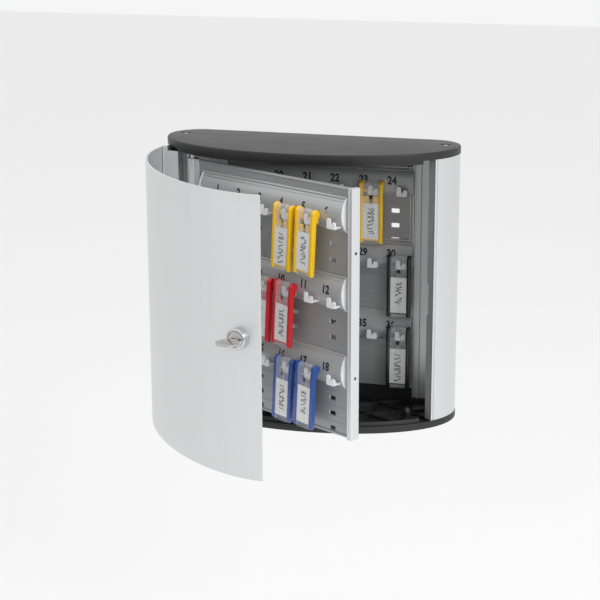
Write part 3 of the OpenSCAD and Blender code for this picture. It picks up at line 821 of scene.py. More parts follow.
@dataclass
class Caps:
    """The two moulded end caps with their lips, ribs, bosses and screws."""

    floor: float = 2.5
    lip_high: float = 11.5
    rib_high: float = 5.5
    rib_thick: float = 1.2
    rib_pitch: float = 34.0
    screw_at: tuple[float, float] = (135.5, -28.0)
    well_radius: float = 4.6

    def tray(self) -> Shell:
        """Outer face with two screw wells, rounded rim and inner floor.

        Formula: rings of the plan at an inset and a level, along the rounded section.
        """
        turn = np.radians(np.linspace(0, 90, 7))
        section = [(1.4 - 1.4 * math.sin(v), 1.4 - 1.4 * math.cos(v)) for v in turn]
        section += [(0.0, 7.1), (0.12, 7.38), (0.4, RIM), (2.3, RIM)]
        section += [(2.6, 7.35), (2.7, 7.0), (2.7, self.floor)]
        rings = np.stack([np.c_[PLAN.loop(i), np.full(len(PLAN.loop(i)), z)] for i, z in section])
        skin = loft(rings, ends=False)
        inner = PLAN.loop(section[-1][0])
        floor = Shell(np.c_[inner, np.full(len(inner), self.floor)], [list(range(len(inner)))])
        wells = [
            circle(self.well_radius, 28, (s * self.screw_at[0], self.screw_at[1])) for s in (1, -1)
        ]
        face = fill_with_holes(PLAN.loop(section[0][0]), wells, section[0][1])
        depth = 3.1
        sunk = [wall(w, 0.0, depth) for w in wells]
        bottoms = [Shell(np.c_[w, np.full(len(w), depth)], [list(range(len(w)))]) for w in wells]
        return Shell.joined([skin, floor, face, *sunk, *bottoms])

    def lip(self) -> Shell:
        """Upright bar along the front that the door shuts against, its top edge rounded."""
        start, stop = PLAN.angle(-(DOOR_EDGE - 4)), PLAN.angle(DOOR_EDGE - 9)
        a = np.linspace(start, stop, 130)
        section = np.array(
            [(LIP_IN, CAP_SEAT), (LIP_IN, self.lip_high - 0.5),
             (LIP_IN + 0.15, self.lip_high - 0.15),
             (LIP_IN + 0.5, self.lip_high), (LIP_IN + 1.5, self.lip_high),
             (LIP_IN + 1.85, self.lip_high - 0.15), (LIP_IN + 2, self.lip_high - 0.5),
             (LIP_IN + 2, CAP_SEAT)]
        )
        flat = PLAN.ellipse(
            a[:, None], np.broadcast_to(section[None, :, 0], (len(a), len(section)))
        )
        level = np.broadcast_to(section[None, :, 1:], (len(a), len(section), 1))
        return loft(np.concatenate([flat, level], -1))

    def ribs(self) -> list[Shell]:
        """Lattice of thin ribs in three directions, each cut off at the plan's inner edge.

        Formula: a rib is the chord that a straight line leaves inside the plan.
        """
        plan = PLAN.loop(LIP_IN)
        middle = np.array([0.0, -(PLAN.corner + PLAN.front) / 2])
        half = self.rib_thick / 2
        section = np.array(
            [(-half, CAP_SEAT), (half, CAP_SEAT),
             (half * 0.75, self.rib_high), (-half * 0.75, self.rib_high)]
        )
        made = []
        for angle in (30, 90, 150):
            along = np.array([math.cos(math.radians(angle)), math.sin(math.radians(angle))])
            side = np.array([-along[1], along[0]])
            for step in range(-5, 6):
                away = (plan - middle) @ side - step * self.rib_pitch
                nxt = np.roll(away, -1)
                cross = np.nonzero((away > 0) != (nxt > 0))[0]
                if len(cross) != 2:
                    continue
                share = away[cross] / (away[cross] - nxt[cross])
                ends = plan[cross] + share[:, None] * (np.roll(plan, -1, 0)[cross] - plan[cross])
                if np.linalg.norm(ends[1] - ends[0]) > 8:
                    made.append(rod((*ends[0], 0.0), (*ends[1], 0.0), section))
        return made

    def boss(self, x: float, y: float, radius: float, high: float) -> list[Shell]:
        """Round boss with six radial webs."""
        rim = [(radius, high - 0.5), (radius - 0.5, high), (0.0, high)]
        tube = lathe([(0.0, CAP_SEAT), (radius, CAP_SEAT), *rim], 36)
        made = [tube.placed(Pose.at(x, y, 0))]
        for k in range(6):
            web = block((0, -0.6, CAP_SEAT), (radius + 7, 0.6, 7.0))
            made.append(web.placed(Pose.turned_z(60 * k + 15, (x, y, 0))))
        return made

    def shell(self) -> Shell:
        """One whole cap, its outer face down."""
        reach = PANEL_LEN - END_POST / 2
        tilt = math.radians(PANEL_TILT)
        catch = (PIVOT[0] + reach * math.cos(tilt), PIVOT[1] + reach * math.sin(tilt))
        port = lathe([(0, CAP_SEAT), (5, CAP_SEAT), (5, RIM), (0, RIM)], 32)
        parts = [self.tray(), self.lip(), *self.ribs()]
        parts += self.boss(PIVOT[0], PIVOT[1], 6.0, 13.5) + self.boss(*catch, 4.5, RIM)
        parts += [port.placed(Pose.at(s * self.screw_at[0], self.screw_at[1], 0)) for s in (1, -1)]
        bead = lathe([(0, CAP_SEAT), (4.6, CAP_SEAT), (4.6, RIM), (0, RIM)], 32)
        parts.append(bead.placed(Pose.at(*HINGE)))
        parts.append(block((-PLAN.panel_half, -3.5, 0.6), (PLAN.panel_half, -0.5, PLATE_LOW)))
        return Shell.joined(parts)

    def cross_arm(self, u: Array, v: Array) -> Array:
        """One arm of the cross recess: a smooth 0 to 1 step at its half width and half length."""
        return (
            0.25 * (1 - np.tanh((np.abs(u) - 0.55) / 0.12))
            * (1 - np.tanh((np.abs(v) - 2.3) / 0.15))
        )

    def screw(self) -> Shell:
        """Screw head with a cross recess, its face down at z = 0.4.

        Formula: on a polar grid the height is a shallow dome less a cross whose edge
        is smoothed with a hyperbolic tangent.
        """
        r = np.linspace(0.02, 1, 26)[:, None] * 4.0
        t = np.linspace(0, TAU, 48, endpoint=False)[None, :]
        x, y = r * np.cos(t), r * np.sin(t)
        cross = np.clip(self.cross_arm(x, y) + self.cross_arm(y, x), 0, 1)
        z = 0.4 + 0.5 * (r / 4.0) ** 4 + 1.2 * cross
        dome = np.stack([x, y, z], -1)
        skirt = np.stack([x[-1], y[-1], np.full(48, 3.0)], -1)[None]
        return loft(np.concatenate([dome, skirt]))

    def build(self, bench: Bench) -> None:
        """Builds both caps and the four screws."""
        cap = self.shell()
        bench.piece("cap_bottom", cap, "cabinet", Finish.CAP, ["bottom_cap"])
        bench.piece("cap_top", cap.flipped_up(HEIGHT), "cabinet", Finish.CAP, ["top_cap"])
        screws = [
            self.screw().placed(Pose.at(s * self.screw_at[0], self.screw_at[1], 0)) for s in (1, -1)
        ]
        both = Shell.joined(screws)
        bench.piece(
            "cap_screw_heads", Shell.joined([both, both.flipped_up(HEIGHT)]), "cabinet",
            Finish.CHROME, ["cap_screws"],
        )
        bench.dress(["panel_catches"], Finish.CAP)
        bench.dress(["door_hinge_pins", "panel_pivot_pins", "lock_strike"], Finish.STEEL)


# ---------------------------------------------------------------- fixed side profiles


@dataclass
class SideProfiles:
    """The drawn side profiles with their screw ports, the hinge bead and the front flange."""

    flange: float = 11.0
    low: float = RIM
    high: float = HEIGHT - RIM
    bead: float = 4.6
    lock_z: float = 141.0
    cam_len: float = 26.0

    def skin(self, x: float) -> Shell:
        """Curved skin from the front at x to the wall, with its front and rear edges rounded."""
        start = PLAN.angle(x)
        outer, inner = PLAN.side(start, PLAN.skin_inset), PLAN.side(start, SKIN_IN)
        return prism(np.vstack([outer, inner[::-1]]), self.low, self.high)

    def grooved_skin(self, x: float) -> Shell:
        """The same skin with a draw groove along its front corner.

        Formula: the outer path's inset grows by a narrow bell curve of the path's length.
        """
        start = PLAN.angle(x)
        a = np.concatenate(
            [np.linspace(start, start - 0.06, 40), np.linspace(start - 0.064, 0.004, 36)]
        )
        p = PLAN.ellipse(a)
        run = np.concatenate([[0], np.cumsum(np.linalg.norm(np.diff(p, axis=0), axis=1))])
        inset = PLAN.skin_inset + 1.1 * np.exp(-(((run - 2.9) / 0.55) ** 2))
        rest = [
            PLAN.bend(1, 0, 90, PLAN.skin_inset), np.array([[PLAN.panel_half, -PLAN.skin_inset]])
        ]
        outer = np.vstack([PLAN.ellipse(a, inset), *rest])
        return prism(np.vstack([outer, PLAN.side(start, SKIN_IN)[::-1]]), self.low, self.high)

    def inner_parts(self) -> list[Shell]:
        """Screw port on its web, and two small upright ribs beside the back panel."""
        x, y = 135.5, -28.0
        port = prism(circle(4.0, 36, (x, y)), self.low, self.high)
        web = block((x, y - 1, self.low), (PLAN.half - SKIN_IN + 0.3, y + 1, self.high))
        ribs = [
            block(
                (PLAN.panel_half + 5.5, -6.0, self.low), (PLAN.panel_half + 7.0, -2.0, self.high)
            ),
            block(
                (PLAN.panel_half + 0.2, -4.2, self.low), (PLAN.panel_half + 1.6, -2.0, self.high)
            ),
        ]
        return [port, web, *ribs]

    def right(self) -> Shell:
        """Right profile with its return flange, cut back where the cam passes."""
        place = PLAN.at_front(PLAN.angle(DOOR_EDGE))
        short = self.flange - 2.2
        low, high = self.lock_z - self.cam_len, self.lock_z + 6.0
        steps = [(0.5, self.low), (self.flange, self.low), (self.flange, low), (short, low),
                 (short, high), (self.flange, high), (self.flange, self.high), (0.5, self.high)]
        upright = Pose((1, 0, 0), (0, 0, 1), (0, -1, 0))
        flange = prism(np.array(steps), 0.0, PLAN.skin).placed(upright).placed(place)
        return Shell.joined([self.grooved_skin(DOOR_EDGE), flange, *self.inner_parts()])

    def left(self) -> Shell:
        """Left profile with the round hinge bead, both shortened round the hinge arms."""
        skin = self.skin(-(HINGE[0] - 3.6)).mirrored_x()
        bead = prism(circle(self.bead, 40, HINGE[:2]), RIM + 8.1, HEIGHT - RIM - 8.1)
        inner = [part.mirrored_x() for part in self.inner_parts()]
        return Shell.joined([skin, bead, *inner])

    def build(self, bench: Bench) -> None:
        """Builds both profiles."""
        bench.piece(
            "side_profile_right", self.right(), "cabinet", Finish.ANODISED, ["right_profile"], 0.25
        )
        bench.piece(
            "side_profile_left", self.left(), "cabinet", Finish.ANODISED, ["left_profile"], 0.25
        )


# ---------------------------------------------------------------- hook strips


@dataclass
class HookPanel:
    """A plate's three hook strips with their bands, numbers and hooks.

    The panel's own axes are x along it, y inwards and z up, with the plate's front at y = 0.
    """

    name: str
    body: str
    place: Pose
    x0: float
    start: float
    stop: float
    first: int
    strips: tuple[str, str, str]
    hooks_node: str
    up: float = 26.4
    down: float = 5.1
    bulge: float = BAND_BULGE
    hook_w: float = 10.5
    hook_out: float = 12.5
    hook_thick: float = 1.4
    hook_shift: float = 11.5
    digit_high: float = 8.5
    # Whether the bands get white end pieces, which are a painted highlight on their end faces.
    lit_end_faces: bool = False

    def reach(self, z: Array) -> Array:
        """How far the band stands out at a height: an arc through its two edges."""
        half, mid = (self.up + self.down) / 2, (self.up - self.down) / 2
        radius = (half**2 + self.bulge**2) / (2 * self.bulge)
        return np.sqrt(np.maximum(radius**2 - (z - mid) ** 2, 0)) - (radius - self.bulge)

    def band_section(self, grow: float = 0.0) -> Array:
        """Section of the band in depth and height: arc, rolled top edge and two grooves."""
        z = np.linspace(-self.down, self.up, 120)
        cut = 0.55 * np.exp(-(((z - 22.6) / 0.4) ** 2)) + 0.9 * np.exp(-(((z + 0.4) / 0.45) ** 2))
        out = self.reach(z) + grow - (cut if grow == 0 else 0)
        front = np.stack([-np.maximum(out, 0.02), z], -1)
        lip = arc((-0.2, self.up - 0.2), 1.5 + grow, 200, -20, 16)
        return np.vstack([front[:-3], lip, [[0.0, self.up - 1.5]], [[0.0, -self.down]]])

    def strip(self, row: int) -> Shell:
        """One band carried along the panel."""
        section = self.band_section()
        level = FIRST_ROW - row * ROW_PITCH
        ring = np.c_[np.zeros(len(section)), section[:, 0], section[:, 1] + level]
        return loft(np.stack([ring + [self.start, 0, 0], ring + [self.stop - 0.6, 0, 0]]))

    def ends(self) -> Shell:
        """White crescent end pieces of the three bands: a painted highlight standing for the bands'
        own end faces lit from the right.
        """
        z = np.linspace(-self.down - 1.2, self.up + 0.6, 60)
        t = (z - z[0]) / (z[-1] - z[0])
        front = np.stack([-(self.bulge + 0.7) * np.sin(np.pi * t) ** 0.72, z], -1)
        made = []
        for row in range(3):
            level = FIRST_ROW - row * ROW_PITCH
            ring = np.c_[np.zeros(len(front)), front[:, 0], front[:, 1] + level]
            for x, wide in ((self.start, 1.4), (self.stop - 1.8, 1.8)):
                made.append(loft(np.stack([ring + [x, -0.02, 0], ring + [x + wide, -0.02, 0]])))
        return Shell.joined(made)

    def hook(self) -> Shell:
        """One hook: a tongue, a notched lip with a taller prong, and a web under it."""
        w, out, thick = self.hook_w, self.hook_out, self.hook_thick
        tongue = block((0, -out + 0.2, -thick), (w, -2.2, 0))
        lip = rounded(
            [(0, -thick - 0.5), (w, -thick - 0.5), (w + 0.5, 4.3), (w - 3.4, 5.0), (w - 4.6, 1.4),
             (4.9, 1.2), (4.4, 7.7), (0.3, 7.9)],
            [0.9, 0.9, 1.0, 1.2, 1.0, 1.0, 1.6, 1.6],
        )
        upright = Pose((1, 0, 0), (0, 0, 1), (0, -1, 0), (0, -out + thick, 0))
        front = prism(lip, 0.0, thick).placed(upright)
        side = Pose((0, 1, 0), (0, 0, 1), (1, 0, 0), (w / 2 - 1, 0, 0))
        web = prism(np.array([[-5, -thick], [-10, -thick], [-5, -3.8]]), 0, 2).placed(side)
        return Shell.joined([tongue, front, web])

    def number_x(self, column: int) -> float:
        """Sideways place of a number."""
        return self.x0 + FIRST_NUMBER + column * HOOK_PITCH

    def hooks(self) -> Shell:
        """All eighteen hooks."""
        one = self.hook()
        aside = self.hook_shift - self.hook_w / 2
        return Shell.joined(
            one.placed(Pose.at(self.number_x(c) + aside, 0, FIRST_ROW - r * ROW_PITCH))
            for r in range(3)
            for c in range(6)
        )

    def digits(self, text: str) -> Shell:
        """A number as thin raised figures, cut level so that they can follow the band."""
        curve = bpy.data.curves.new("digits", "FONT")
        curve.body = text
        curve.extrude = 0.02
        curve.offset = 0.04
        holder = bpy.data.objects.new("digits", curve)
        bpy.context.scene.collection.objects.link(holder)
        bpy.context.view_layer.update()
        mesh = bpy.data.meshes.new_from_object(holder)
        cut = bmesh.new()
        cut.from_mesh(mesh)
        for level in np.linspace(0.05, 0.7, 8):
            bmesh.ops.bisect_plane(
                cut, geom=cut.verts[:] + cut.edges[:] + cut.faces[:],
                plane_co=(0, level, 0), plane_no=(0, 1, 0),
            )
        verts = np.array([v.co[:] for v in cut.verts])
        faces = [[v.index for v in f.verts] for f in cut.faces]
        cut.free()
        bpy.data.objects.remove(holder)
        bpy.data.curves.remove(curve)
        bpy.data.meshes.remove(mesh)
        low, high = verts.min(0), verts.max(0)
        scale = self.digit_high / (high[1] - low[1])
        flat = (verts - (low + high) / 2) * [scale * 0.88, scale, 1.0]
        return Shell(flat, faces)

    def numbers(self) -> Shell:
        """The eighteen numbers laid on the bands.

        Formula: a figure's point (u, v) goes to x = number + u and z = middle + v, and
        its depth is the band's reach at that height plus a hair.
        """
        made = []
        middle = 13.0
        for r in range(3):
            for c in range(6):
                shell = self.digits(str(self.first + r * 6 + c))
                u, v, w = shell.verts.T
                z = middle + v
                y = -self.reach(z) - 0.02 - 0.05 * (w > 0)
                x = u + self.number_x(c)
                level = FIRST_ROW - r * ROW_PITCH
                made.append(Shell(np.stack([x, y, z + level], -1), shell.faces))
        return Shell.joined(made)

    def build(self, bench: Bench) -> None:
        """Builds the strips, their ends, the hooks and the numbers."""
        band = bench.palette.band
        for row, node in enumerate(self.strips):
            label = node.replace("strip", "label_band")
            shell = self.strip(row).placed(self.place)
            bench.piece(label, shell, self.body, Finish.PLATE, [node], 0.0, band)
        # The white end pieces are a painted highlight on the bands' end faces.
        if self.lit_end_faces:
            ends = self.ends().placed(self.place)
            bench.piece(f"{self.name}_band_end_highlights", ends, self.body, Finish.HOOK, (), 0.2)
        hooks = self.hooks().placed(self.place)
        bench.piece(f"{self.name}_hook_set", hooks, self.body, Finish.HOOK, [self.hooks_node], 0.3)
        bench.piece(
            f"{self.name}_numbers", self.numbers().placed(self.place), self.body, Finish.PLATE,
            (), 0.0,
            bench.palette.ink,
        )


@dataclass
class BackWall:
    """The fixed back panel with its scored lines and edge channels."""

    def scores(self, x0: float, x1: float, place: Pose) -> Shell:
        """Fine level beads between the slot rows, each a half round carried along the plate."""
        made = []
        half = np.vstack([arc((0, 0), 0.28, 180, 360, 9)])
        for row in range(3):
            for step in range(4):
                level = FIRST_ROW - row * ROW_PITCH - 11.9 - 15.1 * step
                if level < PLATE_LOW + 1.5:
                    continue
                ring = np.c_[np.zeros(9), half[:, 1], half[:, 0] + level]
                made.append(loft(np.stack([ring + [x0, 0.02, 0], ring + [x1, 0.02, 0]])))
        return Shell.joined(made).placed(place)

    def build(self, bench: Bench) -> None:
        """Dresses the panel and adds its beads and channels."""
        bench.dress(["back_panel"], Finish.PLATE)
        place = Pose.at(0, PLATE_FRONT, 0)
        lines = self.scores(-98.5, 93.5, place)
        bench.piece("back_panel_beads", lines, "cabinet", Finish.PLATE)
        channels = [
            block((95.0, PLATE_FRONT - 1.6, PLATE_LOW), (96.2, PLATE_FRONT, PLATE_HIGH)),
            block((98.2, PLATE_FRONT - 2.4, PLATE_LOW), (99.8, PLATE_FRONT, PLATE_HIGH)),
            block((-99.8, PLATE_FRONT - 2.4, PLATE_LOW), (-98.6, PLATE_FRONT, PLATE_HIGH)),
        ]
        bench.piece(
            "back_panel_channels", Shell.joined(channels), "cabinet", Finish.ANODISED, (), 0.2
        )


@dataclass
class SwingFrame:
    """The swing panel's plate, hinge post and end post."""

    post: float = 5.2
    deep: float = 11.0

    def hinge_post(self) -> Shell:
        """Round post with three draw grooves, and a ribbed web beside it.

        Formula: the post's radius is 5.2 less narrow bell curves round the circle.
        """
        t = np.linspace(0, TAU, 96, endpoint=False)
        radius = np.full(96, self.post)
        for centre in (4.0, 4.55, 5.3):
            radius -= 0.45 * np.exp(-(((t - centre) / 0.05) ** 2))
        ring = np.stack([radius * np.cos(t), radius * np.sin(t)], -1)
        post = prism(ring, PLATE_LOW, PLATE_HIGH)
        web = block((self.post - 1.5, -2.4, PLATE_LOW), (self.post + 6.8, 2.4, PLATE_HIGH))
        ribs = [
            prism(arc((x, -2.3), 0.8, 180, 360, 9), PLATE_LOW, PLATE_HIGH)
            for x in (self.post + 1.6, self.post + 4.6)
        ]
        return Shell.joined([post, web, *ribs]).placed(PANEL_PLACE)

    def end_post(self) -> Shell:
        """Rounded bar with a draw groove on its front."""
        x0, half = PANEL_LEN - END_POST, self.deep / 2
        groove = x0 + 1.9
        outline = rounded(
            [(x0, -half), (groove - 0.5, -half), (groove, -half + 0.9), (groove + 0.5, -half),
             (PANEL_LEN, -half), (PANEL_LEN, half), (x0, half)],
            [0.5, 0.15, 0.15, 0.15, 0.8, 0.8, 0.5],
        )
        return prism(outline, PLATE_LOW, PLATE_HIGH).placed(PANEL_PLACE)

    def hole_shade_discs(self) -> Shell:
        """Two thin black discs on the end post's outer face: painted shade standing for its two
        screw holes.
        """
        shade_disc = lathe(
            [(0.0, 0.0), (1.45, 0.0), (1.5, 0.06), (1.1, 0.1), (0.5, 0.04), (0.0, 0.04)], 24
        )
        across = Pose((0, 1, 0), (0, 0, 1), (1, 0, 0))
        return Shell.joined(
            shade_disc.placed(across).placed(
                Pose.at(PANEL_LEN - 0.02, 0, HEIGHT / 2 + s * 60.5)
            ) for s in (1, -1)
        ).placed(PANEL_PLACE)

    def build(self, bench: Bench) -> None:
        """Builds the posts and dresses the plate."""
        bench.dress(["swing_plate"], Finish.PLATE)
        lines = BackWall().scores(17.5, PANEL_LEN - END_POST - 0.4, Pose.at(0, -1, 0))
        bench.piece("swing_panel_beads", lines.placed(PANEL_PLACE), "swing_panel", Finish.PLATE)
        body = "swing_panel"
        # The end post takes the lighter anodised copy. It is the same aluminium as the hinge post,
        # so this is a painted highlight.
        plain, light = Finish.ANODISED, Finish.ANODISED_PAINTED_HIGHLIGHT
        bench.piece("swing_post_hinge", self.hinge_post(), body, plain, ["swing_hinge_post"], 0.3)
        bench.piece("swing_post_end", self.end_post(), body, light, ["swing_end_post"], 0.3)
        ink = bench.palette.ink
        # Black discs: painted shade where the end post's screw holes are.
        bench.piece("swing_post_hole_shade", self.hole_shade_discs(), body, light, (), 0.0, ink)


# ---------------------------------------------------------------- door and lock


@dataclass
class Door:
    """The curved door leaf with its return flange."""

    low: float = 8.0
    high: float = 272.0
    flange: float = 20.0

    def leaf(self) -> Shell:
        """Curved leaf: outer and inner ellipse paths joined by a half-round free edge.

        Formula: the plan is the outer path, then points whose inset runs along a half
        circle, then the inner path back; it is carried straight up.
        """
        start, stop = PLAN.angle(-(DOOR_EDGE + 3.5)), PLAN.angle(DOOR_EDGE - 0.56)
        a = np.linspace(start, stop, 190)
        mid, half = (PLAN.skin_inset + SKIN_IN) / 2, PLAN.skin / 2
        t = np.radians(np.linspace(80, -80, 7))
        edge_inset = mid - half * np.sin(t)
        edge = PLAN.ellipse(np.full(7, stop), edge_inset)
        along = PLAN.ellipse(np.array(stop)) - PLAN.ellipse(np.array(stop + 0.001))
        edge = edge + 0.35 * np.cos(t)[:, None] * along / np.linalg.norm(along)
        plan = np.vstack([PLAN.ellipse(a, PLAN.skin_inset), edge, PLAN.ellipse(a[::-1], SKIN_IN)])
        return prism(plan, self.low, self.high)

    def return_flange(self) -> Shell:
        """Flat flange behind the hinge edge, stepped at both ends, with a bead at its foot."""
        place = PLAN.at_front(PLAN.angle(-(DOOR_EDGE + 0.3)))
        step = self.low + 3.7
        top, top_step = self.high, self.high - 3.7
        steps = [(1, self.low), (8, self.low), (8, step), (self.flange, step),
                 (self.flange, top_step), (8, top_step), (8, top), (1, top)]
        upright = Pose((1, 0, 0), (0, 0, 1), (0, -1, 0), (0, 1, 0))
        flat = prism(np.array(steps), 0.0, 2.0).placed(upright)
        bead = prism(circle(0.9, 20, (3.6, -1.2)), self.low, self.high)
        return Shell.joined([flat, bead]).placed(place)

    def build(self, bench: Bench) -> None:
        """Builds the leaf and its flange, and dresses the hinge arms."""
        shell = Shell.joined([self.leaf(), self.return_flange()]).placed(DOOR_PLACE)
        bench.piece("door_leaf", shell, "door", Finish.ANODISED, ["door_shell"], 0.3)
        bench.dress(["door_hinge_top", "door_hinge_bottom"], Finish.CAP)


@dataclass
class CamLock:
    """The lock with its collar, rotor and key, on its own axis: z out of the door, x up."""

    x: float = 118.5
    z: float = 141.0
    collar: float = 10.3
    proud: float = 7.5
    barrel: float = 8.0
    face: float = 6.7

    def place(self) -> Pose:
        """Place of the lock on the open door."""
        a = np.array(PLAN.angle(self.x))
        n, p = PLAN.normal(a), PLAN.ellipse(a, PLAN.skin_inset)
        on_door = Pose((0, 0, 1), (n[1], -n[0], 0), (n[0], n[1], 0), (p[0], p[1], self.z))
        return on_door.inside(DOOR_PLACE)

    def housing(self) -> Shell:
        """Collar and threaded barrel.

        Formula: a closed section of radius and height turned about the axis; the
        barrel's radius carries a fine sine wave for its thread.
        """
        r, h = self.collar, self.proud
        t = np.radians(np.linspace(0, 90, 7))
        rim = [(r - 1.1 + 1.1 * math.cos(v), h - 1.1 + 1.1 * math.sin(v)) for v in t]
        thread_z = np.linspace(-1.0, -11.4, 62)
        thread = [(self.barrel - 0.18 + 0.18 * math.cos(z * TAU / 1.0), z) for z in thread_z]
        section = [(5.62, -11.5), (5.62, 3.9), (6.8, 3.9), (6.8, h - 0.8), (7.6, h - 0.2), (7.9, h)]
        section += rim[::-1] + [(r, -0.6), (self.barrel - 0.02, -0.6)] + thread
        rings = np.array(section)
        a = np.linspace(0, TAU, 72, endpoint=False)
        surface = np.stack(
            [
                rings[:, :1] * np.cos(a),
                rings[:, :1] * np.sin(a),
                np.broadcast_to(rings[:, 1:], (len(rings), 72)),
            ],
            -1,
        )
        closed = np.concatenate([surface, surface[:1]])
        return loft(closed, ends=False)

    def rotor(self) -> Shell:
        """Rotor face with a stepped keyway sunk into it, and the body behind."""
        slot = np.array([
            (-1.25, -3.7), (1.25, -3.7), (1.25, -1.2), (0.75, -0.6), (0.75, 0.6), (1.25, 1.2),
            (1.25, 3.7), (-1.25, 3.7), (-1.25, 1.2), (-0.75, 0.6), (-0.75, -0.6), (-1.25, -1.2),
        ])
        rim = circle(self.face - 0.35, 48)
        top = fill_with_holes(rim, [slot], 7.05)
        sunk = wall(slot, -7.4, 7.05)
        bottom = Shell(np.c_[slot, np.full(len(slot), -7.4)], [list(range(len(slot)))])
        section = [(self.face - 0.35, 7.05), (self.face, 6.75), (self.face, 4.05)]
        section += [(5.45, 4.05), (5.45, -12.3)]
        t = np.linspace(0, TAU, 48, endpoint=False)
        rings = np.stack(
            [np.stack([r * np.cos(t), r * np.sin(t), np.full(48, z)], -1) for r, z in section]
        )
        back = Shell(rings[-1], [list(range(48))])
        return Shell.joined([top, sunk, bottom, loft(rings, ends=False), back])

    def key(self) -> Shell:
        """Flat key: blade with cuts, shoulder, and a bow with a ring hole."""
        upright = Pose((0, 1, 0), (0, 0, 1), (1, 0, 0), (-1.0, 0, 0))
        h = self.proud
        blade = [(-3.5, h + 3), (-3.5, -5.6), (-2.2, -7.0), (1.8, -7.0),
                 (2.6, -5.4), (2.6, -4.4), (3.5, -3.4),
                 (3.5, -2.4), (2.3, -1.0), (2.3, 0.0), (3.5, 1.4), (3.5, h + 3)]
        stem = prism(np.array(blade), 0.15, 1.85).placed(upright)
        t = np.linspace(0, TAU, 72, endpoint=False)
        power = 2.6
        bow = np.stack(
            [10.0 * np.sign(np.cos(t)) * np.abs(np.cos(t)) ** (2 / power),
             h + 12.1 + 9.5 * np.sign(np.sin(t)) * np.abs(np.sin(t)) ** (2 / power)], -1
        )
        head = slab(bow, [circle(2.7, 28, (0, h + 17.0))], 0.0, 2.0).placed(upright)
        dish = np.stack(
            [6.0 * np.sign(np.cos(t)) * np.abs(np.cos(t)) ** 0.8, h + 9.2 + 3.2 * np.sin(t)], -1
        )
        pad = prism(dish, -0.15, 2.15).placed(upright)
        shoulder = block((-1.1, -5.4, h + 0.6), (1.1, 5.4, h + 3.4))
        return Shell.joined([stem, head, pad, shoulder])

    def build(self, bench: Bench) -> None:
        """Builds the lock and dresses the parts behind the door."""
        place = self.place()
        collar = self.housing().placed(place)
        bench.piece("lock_collar", collar, "door", Finish.CHROME, ["lock_housing"], smooth=50)
        bench.piece(
            "lock_plug", self.rotor().placed(place), "rotor", Finish.CHROME, ["lock_rotor"], 0.12
        )
        bench.piece("key_in_lock", self.key().placed(place), "key", Finish.KEY, ["door_key"], 0.18)
        bench.dress(["lock_nut"], Finish.CHROME)
        bench.dress(["lock_cam", "cam_screw"], Finish.STEEL)


# ---------------------------------------------------------------- key tags


